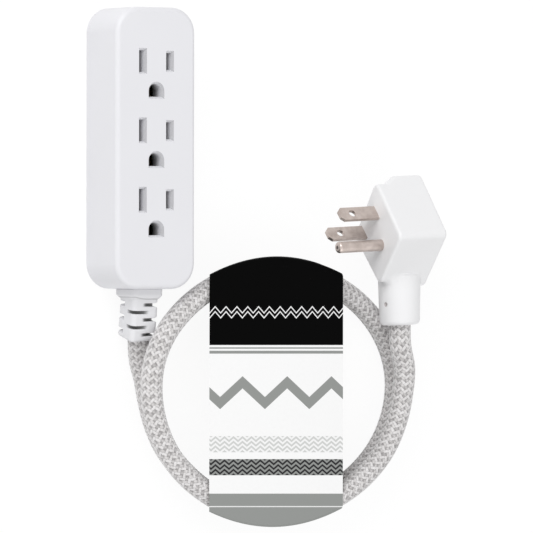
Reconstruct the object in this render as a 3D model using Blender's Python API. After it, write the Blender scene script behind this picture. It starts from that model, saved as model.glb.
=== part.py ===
"""Short three-outlet extension cord with a right-angle plug, coiled in its card sleeve.

The outlet strip lies on its back on the XY plane, +Z up through the outlet faces, +Y towards the
end away from the cord, and its origin is the middle of the back face. The cord leaves the -Y end,
winds about one and two thirds turns to the right of the strip, one strand over the other, and ends
in the plug, which stands on one corner edge. All lengths are in metres.
"""

import math

import bmesh
import bpy
import numpy as np
from mathutils import Matrix, Vector

MM = 0.001
GAP = 0.3 * MM  # between pieces that touch
OVERCUT = 1.0 * MM  # how far a cutter runs past what it cuts

# Outlet and plug pattern, 15 A with ground
BLADE_SPACING = 12.7 * MM
GROUND_DISTANCE = 11.9 * MM
BLADE_WIDTH = 6.35 * MM
BLADE_THICKNESS = 1.5 * MM
BLADE_LENGTH = 18.2 * MM
BLADE_TIP_BEVEL = 1.5 * MM
BLADE_HOLE_RADIUS = 1.6 * MM
BLADE_HOLE_FROM_TIP = 6.3 * MM
PIN_RADIUS = 2.4 * MM
PIN_LENGTH = 21.4 * MM
PIN_TIP_ROUNDING = 1.0 * MM

# Outlet strip housing
HOUSING_WIDTH = 37.2 * MM
HOUSING_LENGTH = 113.6 * MM
HOUSING_HEIGHT = 24.0 * MM
HOUSING_CORNER = 10.5 * MM
FRONT_EDGE_RADIUS = 2.0 * MM
SIDE_WALL = 2.2 * MM
FRONT_WALL = 2.5 * MM
BACK_WALL = 2.0 * MM
OUTLET_COUNT = 3
FAR_MARGIN = 21.8 * MM  # from the far end to the first outlet's slot line
NEAR_MARGIN = 36.0 * MM  # from the last outlet's slot line to the near end
OUTLET_PITCH = (HOUSING_LENGTH - FAR_MARGIN - NEAR_MARGIN) / (OUTLET_COUNT - 1)
SLOT_WIDTH = 2.0 * MM
NEUTRAL_SLOT_LENGTH = 8.8 * MM
HOT_SLOT_LENGTH = 6.9 * MM
GROUND_HOLE_RADIUS = 2.83 * MM
GROUND_HOLE_FLAT = 2.4 * MM  # from the pin's axis to the flat side
LEAD_IN_WIDTH = 0.85 * MM  # of the sloped lead-in round every opening
LEAD_IN_DEPTH = 1.5 * MM
OUTLET_BLOCK_WIDTH = 21.0 * MM
OUTLET_BLOCK_SPACING = 2.9 * MM  # between neighbouring blocks
OUTLET_BLOCK_CLEARANCE = 1.3 * MM  # above the contacts
OUTLET_BLOCK_SHIFT = 5.5 * MM  # from the slot line to the block's middle

# Housing screws
SCREW_FROM_SIDE = 8.1 * MM
SCREW_FROM_END = 8.3 * MM
BOSS_RADIUS = 3.0 * MM
SCREW_HEAD_RADIUS = 2.5 * MM
SCREW_HEAD_HEIGHT = 0.9 * MM
SCREW_SHANK_RADIUS = 1.15 * MM
SCREW_SINK = 0.2 * MM  # of the head below the back face
SCREW_LENGTH = 12.0 * MM
SCREW_DRIVE_WIDTH = 0.7 * MM
SCREW_DRIVE_LENGTH = 3.0 * MM
SCREW_DRIVE_DEPTH = 0.5 * MM

# Insulating carrier, bars and contacts
CARRIER_SIDE_CLEARANCE = 1.4 * MM
CARRIER_END_CLEARANCE = 12.6 * MM
CARRIER_CORNER = 1.2 * MM
CARRIER_FLOOR = 1.5 * MM
CARRIER_WALL = 1.2 * MM
CARRIER_WALL_HEIGHT = 8.0 * MM
PARTITION_THICKNESS = 0.6 * MM
PARTITION_HEIGHT = 9.5 * MM
PARTITION_INSIDE = 3.65 * MM  # from the middle to a partition's inner face
BAR_THICKNESS = 0.8 * MM
BAR_WIDTH = 4.0 * MM
BAR_END_CLEARANCE = 2.5 * MM  # from the carrier's ends
BAR_MIDDLE_X = 7.35 * MM
BAR_END_RADIUS = 1.2 * MM
CONTACT_LENGTH = 7.0 * MM
CONTACT_SHEET = 0.5 * MM
CONTACT_HEIGHT = 10.0 * MM
CONTACT_BASE_GAP = 2.6 * MM
CONTACT_THROAT = 1.7 * MM
CONTACT_MOUTH = 3.4 * MM
PIN_CONTACT_CLEARANCE = 0.1 * MM
PIN_CONTACT_HEIGHT = 8.0 * MM
PIN_CONTACT_SLOT_DEG = 60.0

# Leads
LEAD_RADIUS = 1.4 * MM
LEAD_ON_BAR = 3.0 * MM
PLUG_LEAD_RADIUS = 1.2 * MM

# Strain relief at the strip
RELIEF_FLANGE_HALF = 8.0 * MM
RELIEF_FLANGE_THICKNESS = 2.2 * MM
RELIEF_WAIST_HALF = 6.0 * MM
RELIEF_COLLAR_HALF = 7.5 * MM
RELIEF_COLLAR_THICKNESS = 3.4 * MM
RELIEF_COLLAR_CHAMFER = 1.2 * MM
RELIEF_BODY_HALF = 6.3 * MM
RELIEF_TIP_HALF = 5.9 * MM
RELIEF_LENGTH = 19.7 * MM  # outside the housing
RELIEF_DROP = 0.9 * MM  # of its axis below the housing's middle
RELIEF_TIP_ROUNDING = 1.0 * MM
RELIEF_BODY_CORNER = 2.0 * MM
RELIEF_DIP = 3.0 * MM  # of the mouth, towards the table
RELIEF_SIDE_BEND = 1.2 * MM  # of the mouth, towards the coil
RELIEF_SLOT_COUNT = 5
RELIEF_SLOT_PITCH = 2.8 * MM
RELIEF_SLOT_HEIGHT = 1.0 * MM
RELIEF_FIRST_SLOT = 5.95 * MM  # from the housing's end wall
RELIEF_SLOT_ACROSS = 7.5 * MM  # of the top or bottom side
RELIEF_SLOT_DOWN = 5.0 * MM  # of the left or right side

# Cord and its route
CORD_RADIUS = 4.5 * MM
CORD_LIFT = 0.9 * MM  # under the lower strand, where the card passes
STRAND_SPACING = 2 * CORD_RADIUS + 0.6 * MM
POINTS_PER_TURN = 24
COIL_START_DEG = 255.0
COIL_END_DEG = 705.0
CLIMB_START_DEG = 385.0
CLIMB_END_DEG = 515.0
LOWER_CENTRE = (66.6 * MM, -97.6 * MM)
LOWER_RADII = (61.0 * MM, 47.6 * MM, 50.4 * MM)  # across, towards +Y, towards -Y
UPPER_CENTRE = (63.9 * MM, -98.0 * MM)
UPPER_RADII = (60.5 * MM, 48.6 * MM, 50.8 * MM)
HUMP_DEG = 517.0  # where the upper strand passes over the strain relief
HUMP_HALF_WIDTH_DEG = 38.0
HUMP_HEIGHT = 3.5 * MM
HUMP_SIDE = 2.8 * MM
LEAD_IN_PLACES = (
    (5.7 * MM, -93.5 * MM),
    (7.5 * MM, -102.0 * MM),
    (10.3 * MM, -111.5 * MM),
    (15.6 * MM, -121.9 * MM),
    (24.9 * MM, -132.1 * MM),
    (36.7 * MM, -140.4 * MM),
)
LEAD_OUT_POINTS = (
    (124.3 * MM, -99.2 * MM, 16.1 * MM),
    (124.4 * MM, -90.2 * MM, 17.0 * MM),
)

# Plug
PLUG_FACE = (107.6 * MM, -30.1 * MM)  # middle of the blade line, from above
PLUG_TURN_DEG = 2.6  # about the vertical
PLUG_ROLL_DEG = 40.0  # of the ground pin's direction above the neck's
PLUG_TOP = 22.9 * MM  # from the blade line to the top corner
PLUG_MIDDLE = 4.3 * MM  # from the blade line to the top corner, towards the cord
PLUG_FACE_HALF = 21.8 * MM  # half the body's long diagonal at the face
PLUG_BACK_HALF = 24.7 * MM  # the same behind the step
PLUG_SLIMNESS = 0.8165  # upright diagonal over the long one
PLUG_DEPTH = 23.3 * MM
PLUG_STEP_START = 5.0 * MM
PLUG_STEP_END = 10.0 * MM
PLUG_CORNER = 3.2 * MM
PLUG_EDGE_ROUNDING = 1.2 * MM
PLUG_FACE_WALL = 1.6 * MM
PLUG_CORE_DEPTH = 5.0 * MM
PLUG_CAVITY_DEPTH = 13.5 * MM
PLUG_TAIL = 8.0 * MM  # how far the blades reach behind the face
NECK_BEHIND_FACE = 12.8 * MM
NECK_ABOVE_BLADES = 0.65 * MM
NECK_RADIUS = 8.45 * MM
NECK_TIP_RADIUS = 8.0 * MM
NECK_TIP_ROUNDING = 1.2 * MM
NECK_START = 8.0 * MM  # inside the body
NECK_REACH = 42.0 * MM  # from the blade line's middle to the neck's end
NECK_STRAIGHT = 22.0 * MM
NECK_RISE = 1.1 * MM
NECK_SIDE = 1.0 * MM  # of the neck's end, towards the face
NECK_BORE_RADIUS = 3.7 * MM
NECK_BORE_START = 5.0 * MM
NECK_PIT_RADIUS = 0.8 * MM
NECK_PIT_DEPTH = 0.6 * MM
NECK_PIT_REACH = 33.4 * MM
NECK_PIT_DEG = 14.4  # from the blades' side, upwards
LEAD_TWIST_RADIUS = 1.75 * MM  # of the three leads about the neck's axis

# Card sleeve
CARD = 0.45 * MM
SLEEVE_LEFT = 27.5 * MM
SLEEVE_RIGHT = 92.0 * MM
SLEEVE_FAR_Y = -43.9 * MM  # middle of the fold towards the plug
SLEEVE_NEAR_Y = -154.4 * MM
SLEEVE_FAR_FALL = 7.2 * MM  # how far the ends of this fold lie inside its middle
SLEEVE_NEAR_FALL = 7.0 * MM
SLEEVE_HEIGHT = CORD_LIFT + 2 * CORD_RADIUS + STRAND_SPACING + GAP + CARD
SLEEVE_LEAN = 0.628  # of the left edge and the folds' curve, sideways per height
SLEEVE_FOLD_RADIUS = 1.2 * MM
SLEEVE_STATIONS = 12


def clear_scene():
    for scene_object in list(bpy.data.objects):
        bpy.data.objects.remove(scene_object, do_unlink=True)


def material(name, colour, roughness, metallic=0.0):
    made = bpy.data.materials.new(name)
    made.use_nodes = True
    shader = made.node_tree.nodes["Principled BSDF"]
    shader.inputs["Base Color"].default_value = (*colour, 1.0)
    shader.inputs["Roughness"].default_value = roughness
    shader.inputs["Metallic"].default_value = metallic
    made.diffuse_color = (*colour, 1.0)
    return made


def add_object(name, data, finish=None, smooth_deg=40.0):
    """Puts a mesh or curve in the scene; without a finish it is a hidden helper."""
    made = bpy.data.objects.new(name, data)
    bpy.context.scene.collection.objects.link(made)
    if finish is None:
        made.hide_render = True
        made.display_type = "WIRE"
        return made
    data.materials.append(finish)
    if isinstance(data, bpy.types.Mesh):
        data.shade_smooth()
        data.set_sharp_from_angle(angle=math.radians(smooth_deg))
    return made


def lofted(mesh_name, stacks):
    """One mesh from stacks of rings. Each stack is a skin through its rings with both ends closed."""
    shape = bmesh.new()
    for rings in stacks:
        rows = [[shape.verts.new(point) for point in ring] for ring in rings]
        for low, high in zip(rows, rows[1:]):
            for i in range(len(low)):
                j = (i + 1) % len(low)
                shape.faces.new((low[i], low[j], high[j], high[i]))
        shape.faces.new(list(reversed(rows[0])))
        shape.faces.new(rows[-1])
    bmesh.ops.recalc_face_normals(shape, faces=shape.faces)
    mesh = bpy.data.meshes.new(mesh_name)
    shape.to_mesh(mesh)
    shape.free()
    return mesh


def rounded_outline(corners, radius, steps=5):
    """Outline points of a counter-clockwise polygon whose corners are arcs of steps chords."""
    points = []
    for k, corner in enumerate(corners):
        here = Vector(corner)
        before = (here - Vector(corners[k - 1])).normalized()
        after = (Vector(corners[(k + 1) % len(corners)]) - here).normalized()
        turned = math.acos(before.dot(after))
        middle = here + (after - before).normalized() * radius / math.cos(turned / 2)
        start = math.atan2(-before.x, before.y)
        for j in range(steps + 1):
            angle = start + turned * j / steps
            points.append((middle.x + radius * math.cos(angle), middle.y + radius * math.sin(angle)))
    return points


def rounded_rectangle(x_low, x_high, y_low, y_high, radius, steps=5):
    corners = [(x_high, y_high), (x_low, y_high), (x_low, y_low), (x_high, y_low)]
    return rounded_outline(corners, radius, steps)


def circle(radius, sides=24, x=0.0, y=0.0):
    turns = [2 * math.pi * k / sides for k in range(sides)]
    return [(x + radius * math.cos(t), y + radius * math.sin(t)) for t in turns]


def at_height(outline, z):
    return [(x, y, z) for x, y in outline]


def prism(outline, z_low, z_high):
    return [at_height(outline, z_low), at_height(outline, z_high)]


def box(x_low, x_high, y_low, y_high, z_low, z_high):
    outline = [(x_low, y_low), (x_high, y_low), (x_high, y_high), (x_low, y_high)]
    return prism(outline, z_low, z_high)


def combine(target, helper, operation):
    step = target.modifiers.new(helper.name, "BOOLEAN")
    step.object = helper
    step.operation = operation


def cut(target, name, stacks):
    combine(target, add_object(name, lofted(name, stacks)), "DIFFERENCE")


def join(target, name, stacks):
    combine(target, add_object(name, lofted(name, stacks)), "UNION")


def smooth_route(points, spacing):
    """Points about spacing apart on a curve through the given ones (centripetal Catmull-Rom)."""
    given = [Vector(p) for p in points]
    ends = [2 * given[0] - given[1], *given, 2 * given[-1] - given[-2]]
    route = []
    for before, start, end, after in zip(ends, ends[1:], ends[2:], ends[3:]):
        t0 = 0.0
        t1 = t0 + math.sqrt((start - before).length)
        t2 = t1 + math.sqrt((end - start).length)
        t3 = t2 + math.sqrt((after - end).length)
        count = max(1, round((end - start).length / spacing))
        for k in range(count):
            t = t1 + (t2 - t1) * k / count
            a = before.lerp(start, (t - t0) / (t1 - t0))
            b = start.lerp(end, (t - t1) / (t2 - t1))
            c = end.lerp(after, (t - t2) / (t3 - t2))
            d = a.lerp(b, (t - t0) / (t2 - t0))
            e = b.lerp(c, (t - t1) / (t3 - t1))
            route.append(d.lerp(e, (t - t1) / (t2 - t1)))
    return [*route, given[-1]]


def tube(name, points, radius, finish, resolution=2):
    curve = bpy.data.curves.new(name, "CURVE")
    curve.dimensions = "3D"
    curve.bevel_depth = radius
    curve.bevel_resolution = resolution
    curve.use_fill_caps = True
    spline = curve.splines.new("POLY")
    spline.points.add(len(points) - 1)
    spline.points.foreach_set("co", [value for p in points for value in (*p, 1.0)])
    spline.use_smooth = True
    return add_object(name, curve, finish)


def slot_line(outlet):
    return HOUSING_LENGTH / 2 - FAR_MARGIN - outlet * OUTLET_PITCH


def screw_places():
    across = HOUSING_WIDTH / 2 - SCREW_FROM_SIDE
    along = HOUSING_LENGTH / 2 - SCREW_FROM_END
    return [(side * across, end * along) for end in (1, -1) for side in (-1, 1)]


# ---------------------------------------------------------------- outlet strip housing


def relief_axis_height():
    return HOUSING_HEIGHT / 2 - RELIEF_DROP


def notch_half():
    return RELIEF_WAIST_HALF + GAP


def ground_outline(grow, y):
    """D-shaped ground hole, round towards +Y, flat towards -Y, grown outwards by grow."""
    radius = GROUND_HOLE_RADIUS + grow
    points = []
    for k in range(13):
        angle = math.pi * k / 12
        points.append((radius * math.cos(angle), y + radius * math.sin(angle)))
    flat = y - GROUND_HOLE_FLAT - grow
    return [*points, (-radius, flat), (radius, flat)]


def outlet_openings():
    """Cutters of all outlets: straight throats, opening out in sloped lead-ins at the face."""
    stacks = []
    above_face = LEAD_IN_WIDTH * (1 + OVERCUT / LEAD_IN_DEPTH)
    levels = (
        (block_bottom() - OVERCUT, 0.0),
        (HOUSING_HEIGHT - LEAD_IN_DEPTH, 0.0),
        (HOUSING_HEIGHT + OVERCUT, above_face),
    )
    for outlet in range(OUTLET_COUNT):
        y = slot_line(outlet)
        for side, length in ((-1, NEUTRAL_SLOT_LENGTH), (1, HOT_SLOT_LENGTH)):
            x = side * BLADE_SPACING / 2
            rings = []
            for z, grow in levels:
                half_x = SLOT_WIDTH / 2 + grow
                half_y = length / 2 + grow
                outline = [
                    (x - half_x, y - half_y),
                    (x + half_x, y - half_y),
                    (x + half_x, y + half_y),
                    (x - half_x, y + half_y),
                ]
                rings.append(at_height(outline, z))
            stacks.append(rings)
        stacks.append(
            [at_height(ground_outline(grow, y - GROUND_DISTANCE), z) for z, grow in levels]
        )
    return stacks


def housing_outline(inset):
    half_x = HOUSING_WIDTH / 2 - inset
    half_y = HOUSING_LENGTH / 2 - inset
    return rounded_rectangle(-half_x, half_x, -half_y, half_y, HOUSING_CORNER - inset, steps=8)


def make_front_cover(finish):
    rings = [at_height(housing_outline(0.0), 0.0)]
    for k in range(5):
        angle = math.radians(90 * k / 4)
        inset = FRONT_EDGE_RADIUS * (1 - math.cos(angle))
        z = HOUSING_HEIGHT - FRONT_EDGE_RADIUS * (1 - math.sin(angle))
        rings.append(at_height(housing_outline(inset), z))
    cover = add_object("front_cover", lofted("front_cover", [rings]), finish)
    inside_top = HOUSING_HEIGHT - FRONT_WALL
    cut(cover, "housing_cavity", [prism(housing_outline(SIDE_WALL), -OVERCUT, inside_top)])

    into_wall = inside_top + FRONT_WALL / 2
    half_length = (OUTLET_PITCH - OUTLET_BLOCK_SPACING) / 2
    additions = []
    for outlet in range(OUTLET_COUNT):
        middle = slot_line(outlet) - OUTLET_BLOCK_SHIFT
        additions.append(
            box(
                -OUTLET_BLOCK_WIDTH / 2,
                OUTLET_BLOCK_WIDTH / 2,
                middle - half_length,
                middle + half_length,
                block_bottom(),
                into_wall,
            )
        )
    for x, y in screw_places():
        additions.append(prism(circle(BOSS_RADIUS, 20, x, y), BACK_WALL + GAP, into_wall))
    join(cover, "blocks_and_bosses", additions)

    removals = outlet_openings()
    screw_hole = SCREW_SHANK_RADIUS + GAP
    hole_end = SCREW_LENGTH + 2 * OVERCUT
    for x, y in screw_places():
        removals.append(prism(circle(screw_hole, 16, x, y), BACK_WALL / 2, hole_end))
    wall_outside = -HOUSING_LENGTH / 2 - OVERCUT
    wall_inside = -HOUSING_LENGTH / 2 + SIDE_WALL + OVERCUT
    notch_top = relief_axis_height() + notch_half()
    removals.append(
        box(-notch_half(), notch_half(), wall_outside, wall_inside, -OVERCUT, notch_top)
    )
    cut(cover, "cover_openings", removals)
    return cover


def make_back_cover(finish):
    """Plate inside the rim, with a tongue that closes the end wall's notch under the strain relief."""
    outline = housing_outline(SIDE_WALL + GAP)
    plate = add_object("back_cover", lofted("back_cover", [prism(outline, 0.0, BACK_WALL)]), finish)
    end = -HOUSING_LENGTH / 2
    wall_inside = end + SIDE_WALL
    into_plate = wall_inside + GAP + OVERCUT
    tongue_half = notch_half() - GAP
    tongue_top = relief_axis_height() - RELIEF_WAIST_HALF - GAP
    profile = [
        (end, 0.0),
        (into_plate, 0.0),
        (into_plate, BACK_WALL),
        (wall_inside, BACK_WALL),
        (wall_inside, tongue_top),
        (end, tongue_top),
    ]
    rings = [[(x, y, z) for y, z in profile] for x in (-tongue_half, tongue_half)]
    join(plate, "back_cover_tongue", [rings])
    recess = SCREW_SINK + SCREW_HEAD_HEIGHT + GAP
    heads = []
    shanks = []
    for x, y in screw_places():
        heads.append(prism(circle(SCREW_HEAD_RADIUS + GAP, 20, x, y), -OVERCUT, recess))
        shanks.append(
            prism(circle(SCREW_SHANK_RADIUS + GAP, 16, x, y), -OVERCUT, BACK_WALL + OVERCUT)
        )
    cut(plate, "screw_head_recesses", heads)
    cut(plate, "screw_shank_holes", shanks)
    return plate


def make_screw(number, x, y, finish):
    """Pan-head self-tapping screw, driven in from the back, with a cross recess."""
    under_head = SCREW_SINK + SCREW_HEAD_HEIGHT
    profile = (
        (SCREW_SINK, 0.75 * SCREW_HEAD_RADIUS),
        (SCREW_SINK + 0.35 * SCREW_HEAD_HEIGHT, SCREW_HEAD_RADIUS),
        (under_head, SCREW_HEAD_RADIUS),
        (under_head, SCREW_SHANK_RADIUS),
        (SCREW_LENGTH - 2 * SCREW_SHANK_RADIUS, SCREW_SHANK_RADIUS),
        (SCREW_LENGTH, 0.25 * SCREW_SHANK_RADIUS),
    )
    rings = [at_height(circle(radius, 16, x, y), z) for z, radius in profile]
    name = f"housing_screw_{number}"
    screw = add_object(name, lofted(name, [rings]), finish)
    long, short = SCREW_DRIVE_LENGTH / 2, SCREW_DRIVE_WIDTH / 2
    arm = [(long, -short), (long, short), (short, short)]
    cross = []
    for quarter in range(4):
        turn = Matrix.Rotation(math.radians(90 * quarter), 2)
        cross += [turn @ Vector(corner) + Vector((x, y)) for corner in arm]
    cut(screw, f"{name}_drive", [prism(cross, -OVERCUT, SCREW_SINK + SCREW_DRIVE_DEPTH)])
    return screw


# ---------------------------------------------------------------- bars, contacts and their carrier


def carrier_bottom():
    return BACK_WALL + GAP


def bar_bottom():
    return carrier_bottom() + CARRIER_FLOOR + GAP


def contact_bottom():
    return bar_bottom() + BAR_THICKNESS + GAP


def block_bottom():
    return contact_bottom() + CONTACT_HEIGHT + OUTLET_BLOCK_CLEARANCE


def carrier_half():
    half_x = HOUSING_WIDTH / 2 - SIDE_WALL - CARRIER_SIDE_CLEARANCE
    half_y = HOUSING_LENGTH / 2 - SIDE_WALL - CARRIER_END_CLEARANCE
    return half_x, half_y


def bar_half():
    return carrier_half()[1] - BAR_END_CLEARANCE


def pin_openings(radius, z_low, z_high):
    return [
        prism(circle(radius, 20, 0.0, slot_line(outlet) - GROUND_DISTANCE), z_low, z_high)
        for outlet in range(OUTLET_COUNT)
    ]


def make_carrier(finish):
    low = carrier_bottom()
    half_x, half_y = carrier_half()
    floor = rounded_rectangle(-half_x, half_x, -half_y, half_y, CARRIER_CORNER, steps=3)
    floor_top = low + CARRIER_FLOOR
    plate = lofted("contact_carrier", [prism(floor, low, floor_top)])
    carrier = add_object("contact_carrier", plate, finish)
    wall_half_y = half_y - CARRIER_CORNER
    bottom = low + CARRIER_FLOOR / 2
    walls = []
    for side in (-1, 1):
        outer = sorted((side * half_x, side * (half_x - CARRIER_WALL)))
        walls.append(box(*outer, -wall_half_y, wall_half_y, bottom, low + CARRIER_WALL_HEIGHT))
        partition_outside = PARTITION_INSIDE + PARTITION_THICKNESS
        inner = sorted((side * PARTITION_INSIDE, side * partition_outside))
        walls.append(box(*inner, -wall_half_y, wall_half_y, bottom, low + PARTITION_HEIGHT))
    join(carrier, "carrier_walls", walls)
    holes = pin_openings(PIN_RADIUS + 2 * GAP, low - OVERCUT, floor_top + OVERCUT)
    cut(carrier, "carrier_pin_holes", holes)
    return carrier


def bar_solid(name, x, width, finish):
    half = bar_half()
    outline = rounded_rectangle(
        x - width / 2, x + width / 2, -half, half, BAR_END_RADIUS, steps=3
    )
    rings = prism(outline, bar_bottom(), bar_bottom() + BAR_THICKNESS)
    return add_object(name, lofted(name, [rings]), finish)


def make_ground_bar(finish):
    bar = bar_solid("ground_bar", 0.0, 2 * (PARTITION_INSIDE - GAP), finish)
    low, top = bar_bottom() - OVERCUT, bar_bottom() + BAR_THICKNESS + OVERCUT
    cut(bar, "ground_bar_holes", pin_openings(PIN_RADIUS + GAP, low, top))
    return bar


def ribbon(points, thickness):
    """Closed outline of a strip that follows the points, half its thickness to each side."""
    line = [Vector(p) for p in points]
    steps = [(b - a).normalized() for a, b in zip(line, line[1:])]
    sides = [Vector((-d.y, d.x)) for d in steps]
    offsets = [sides[0]]
    for before, after in zip(sides, sides[1:]):
        middle = (before + after).normalized()
        offsets.append(middle / middle.dot(before))
    offsets.append(sides[-1])
    half = thickness / 2
    left = [p + half * o for p, o in zip(line, offsets)]
    right = [p - half * o for p, o in zip(line, offsets)]
    return [*left, *reversed(right)]


def make_blade_contact(name, x, y, finish):
    """Strip folded to a U that stands on its bar, leaves closing to a throat, then flaring."""
    sheet = CONTACT_SHEET
    low = contact_bottom() + sheet / 2
    top = contact_bottom() + CONTACT_HEIGHT
    side = (
        ((CONTACT_MOUTH + sheet) / 2, top),
        ((CONTACT_THROAT + sheet) / 2, top - 0.25 * CONTACT_HEIGHT),
        ((CONTACT_BASE_GAP + sheet) / 2, low + 0.2 * CONTACT_HEIGHT),
        ((CONTACT_BASE_GAP + sheet) / 2, low),
    )
    line = [(x - across, z) for across, z in side]
    line += [(x + across, z) for across, z in reversed(side)]
    profile = ribbon(line, sheet)
    ends = (y - CONTACT_LENGTH / 2, y + CONTACT_LENGTH / 2)
    rings = [[(p.x, end, p.y) for p in profile] for end in ends]
    return add_object(name, lofted(name, [rings]), finish)


def make_pin_contact(name, y, finish):
    """Open sleeve round the ground pin, slit along the side towards +Y."""
    middle = PIN_RADIUS + PIN_CONTACT_CLEARANCE + CONTACT_SHEET / 2
    start = 90 + PIN_CONTACT_SLOT_DEG / 2
    sweep = 360 - PIN_CONTACT_SLOT_DEG
    angles = [math.radians(start + sweep * k / 20) for k in range(21)]
    line = [(middle * math.cos(angle), middle * math.sin(angle)) for angle in angles]
    profile = [(p.x, y + p.y) for p in ribbon(line, CONTACT_SHEET)]
    low = contact_bottom()
    return add_object(name, lofted(name, [prism(profile, low, low + PIN_CONTACT_HEIGHT)]), finish)


def make_strip_leads(neutral_finish, hot_finish, ground_finish):
    """Three leads from the strain relief's inner end, down to the near ends of the bars."""
    start_y = -HOUSING_LENGTH / 2 + SIDE_WALL + GAP + RELIEF_FLANGE_THICKNESS + GAP
    bar_end = -bar_half()
    middle = relief_axis_height()
    on_bar = bar_bottom() + BAR_THICKNESS + GAP + LEAD_RADIUS
    for name, side, finish in (("neutral_lead", -1, neutral_finish), ("hot_lead", 1, hot_finish)):
        x = side * BAR_MIDDLE_X
        points = [
            (side * 2.4 * MM, start_y, middle - 1.0 * MM),
            (side * 2.4 * MM, start_y + 1.6 * MM, middle - 1.0 * MM),
            (side * 4.8 * MM, start_y + 4.8 * MM, middle - 2.4 * MM),
            (x, start_y + 8.5 * MM, on_bar + 1.6 * MM),
            (x, bar_end + 0.5 * MM, on_bar + 0.1 * MM),
            (x, bar_end + LEAD_ON_BAR, on_bar),
        ]
        tube(name, smooth_route(points, 1.6 * MM), LEAD_RADIUS, finish)
    points = [
        (0.0, start_y, middle + 2.4 * MM),
        (0.0, start_y + 1.6 * MM, middle + 2.4 * MM),
        (0.0, start_y + 5.0 * MM, middle),
        (0.0, start_y + 8.5 * MM, on_bar + 1.8 * MM),
        (0.0, bar_end + 0.5 * MM, on_bar + 0.1 * MM),
        (0.0, bar_end + LEAD_ON_BAR, on_bar),
    ]
    tube("ground_lead", smooth_route(points, 1.6 * MM), LEAD_RADIUS, ground_finish)


# ---------------------------------------------------------------- strain relief


def relief_frame(distance):
    """Axis point and the directions along, across and up at a distance outside the end wall."""
    share = max(distance, 0.0) / RELIEF_LENGTH
    centre = Vector(
        (
            RELIEF_SIDE_BEND * share**4,
            -HOUSING_LENGTH / 2 - distance,
            relief_axis_height() - RELIEF_DIP * share**2,
        )
    )
    side_slope = 4 * RELIEF_SIDE_BEND * share**3 / RELIEF_LENGTH
    dip_slope = 2 * RELIEF_DIP * share / RELIEF_LENGTH
    along = Vector((side_slope, -1.0, -dip_slope)).normalized()
    across = along.cross(Vector((0.0, 0.0, 1.0))).normalized() * -1.0
    return centre, along, across, along.cross(across)


def relief_ring(distance, outline):
    centre, _, across, up = relief_frame(distance)
    return [centre + x * across + z * up for x, z in outline]


def relief_half(distance):
    start = GAP + RELIEF_COLLAR_THICKNESS
    share = (distance - start) / (RELIEF_LENGTH - start)
    return RELIEF_BODY_HALF + (RELIEF_TIP_HALF - RELIEF_BODY_HALF) * share


def make_strain_relief(finish):
    """One soft moulding: inner flange, waist through the wall, collar, and a slotted body."""
    inner = -(SIDE_WALL + GAP)
    body_start = GAP + RELIEF_COLLAR_THICKNESS
    chamfer = RELIEF_COLLAR_CHAMFER
    levels = [
        (inner - RELIEF_FLANGE_THICKNESS, RELIEF_FLANGE_HALF, 1.5 * MM),
        (inner, RELIEF_FLANGE_HALF, 1.5 * MM),
        (inner, RELIEF_WAIST_HALF, 1.5 * MM),
        (GAP, RELIEF_WAIST_HALF, 1.5 * MM),
        (GAP, RELIEF_COLLAR_HALF, 3.0 * MM),
        (body_start - chamfer, RELIEF_COLLAR_HALF, 3.0 * MM),
        (body_start, RELIEF_COLLAR_HALF - 0.6 * chamfer, 3.0 * MM),
        (body_start, RELIEF_BODY_HALF, RELIEF_BODY_CORNER),
    ]
    tip = RELIEF_TIP_ROUNDING
    for share in (0.25, 0.5, 0.75):
        distance = body_start + (RELIEF_LENGTH - tip - body_start) * share
        levels.append((distance, relief_half(distance), RELIEF_BODY_CORNER))
    levels.append((RELIEF_LENGTH - tip, relief_half(RELIEF_LENGTH - tip), RELIEF_BODY_CORNER))
    levels.append((RELIEF_LENGTH, RELIEF_TIP_HALF - tip, RELIEF_BODY_CORNER - tip / 2))
    rings = [
        relief_ring(distance, rounded_rectangle(-half, half, -half, half, corner))
        for distance, half, corner in levels
    ]
    relief = add_object("cord_strain_relief", lofted("cord_strain_relief", [rings]), finish)

    slots = []
    for level in range(RELIEF_SLOT_COUNT):
        distance = RELIEF_FIRST_SLOT + level * RELIEF_SLOT_PITCH
        half = relief_half(distance)
        side = 1 if level % 2 == 0 else -1
        for turn in (1, -1):
            reach = 10 * MM
            near = Vector((half - RELIEF_SLOT_ACROSS, half))
            far = Vector((half, half - RELIEF_SLOT_DOWN))
            run = (far - near).normalized() * reach
            corners = [near - run, far + run, Vector((half + reach, half + reach))]
            outline = [(turn * side * p.x, turn * p.y) for p in corners]
            slots.append(
                [
                    relief_ring(distance + end * RELIEF_SLOT_HEIGHT / 2, outline)
                    for end in (-1, 1)
                ]
            )
    cut(relief, "relief_slots", slots)
    return relief


# ---------------------------------------------------------------- plug


def body_outline(half, inset, corner=PLUG_CORNER, steps=5):
    """Lozenge behind the face as (towards cord, above), keeping its two upper sides in place."""
    slant = math.hypot(1.0, PLUG_SLIMNESS)
    middle = PLUG_TOP - PLUG_SLIMNESS * half
    long = half - inset * slant / PLUG_SLIMNESS
    upright = PLUG_SLIMNESS * half - inset * slant
    corners = [
        (PLUG_MIDDLE + long, middle),
        (PLUG_MIDDLE, middle + upright),
        (PLUG_MIDDLE - long, middle),
        (PLUG_MIDDLE, middle - upright),
    ]
    return rounded_outline(corners, corner, steps)


def plug_lift():
    """Height of the blade line's middle, with the lowest corner edge of the body on the table."""
    return -min(above for _, above in body_outline(PLUG_BACK_HALF, 0.0))


def plug_point(behind, towards_cord, above):
    """World point from distances behind the face, towards the cord and above the blade line's middle."""
    turn = math.radians(PLUG_TURN_DEG)
    back = Vector((math.cos(turn), math.sin(turn), 0.0))
    cordwards = Vector((math.sin(turn), -math.cos(turn), 0.0))
    base = Vector((*PLUG_FACE, plug_lift() + above))
    return base + behind * back + towards_cord * cordwards


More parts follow.
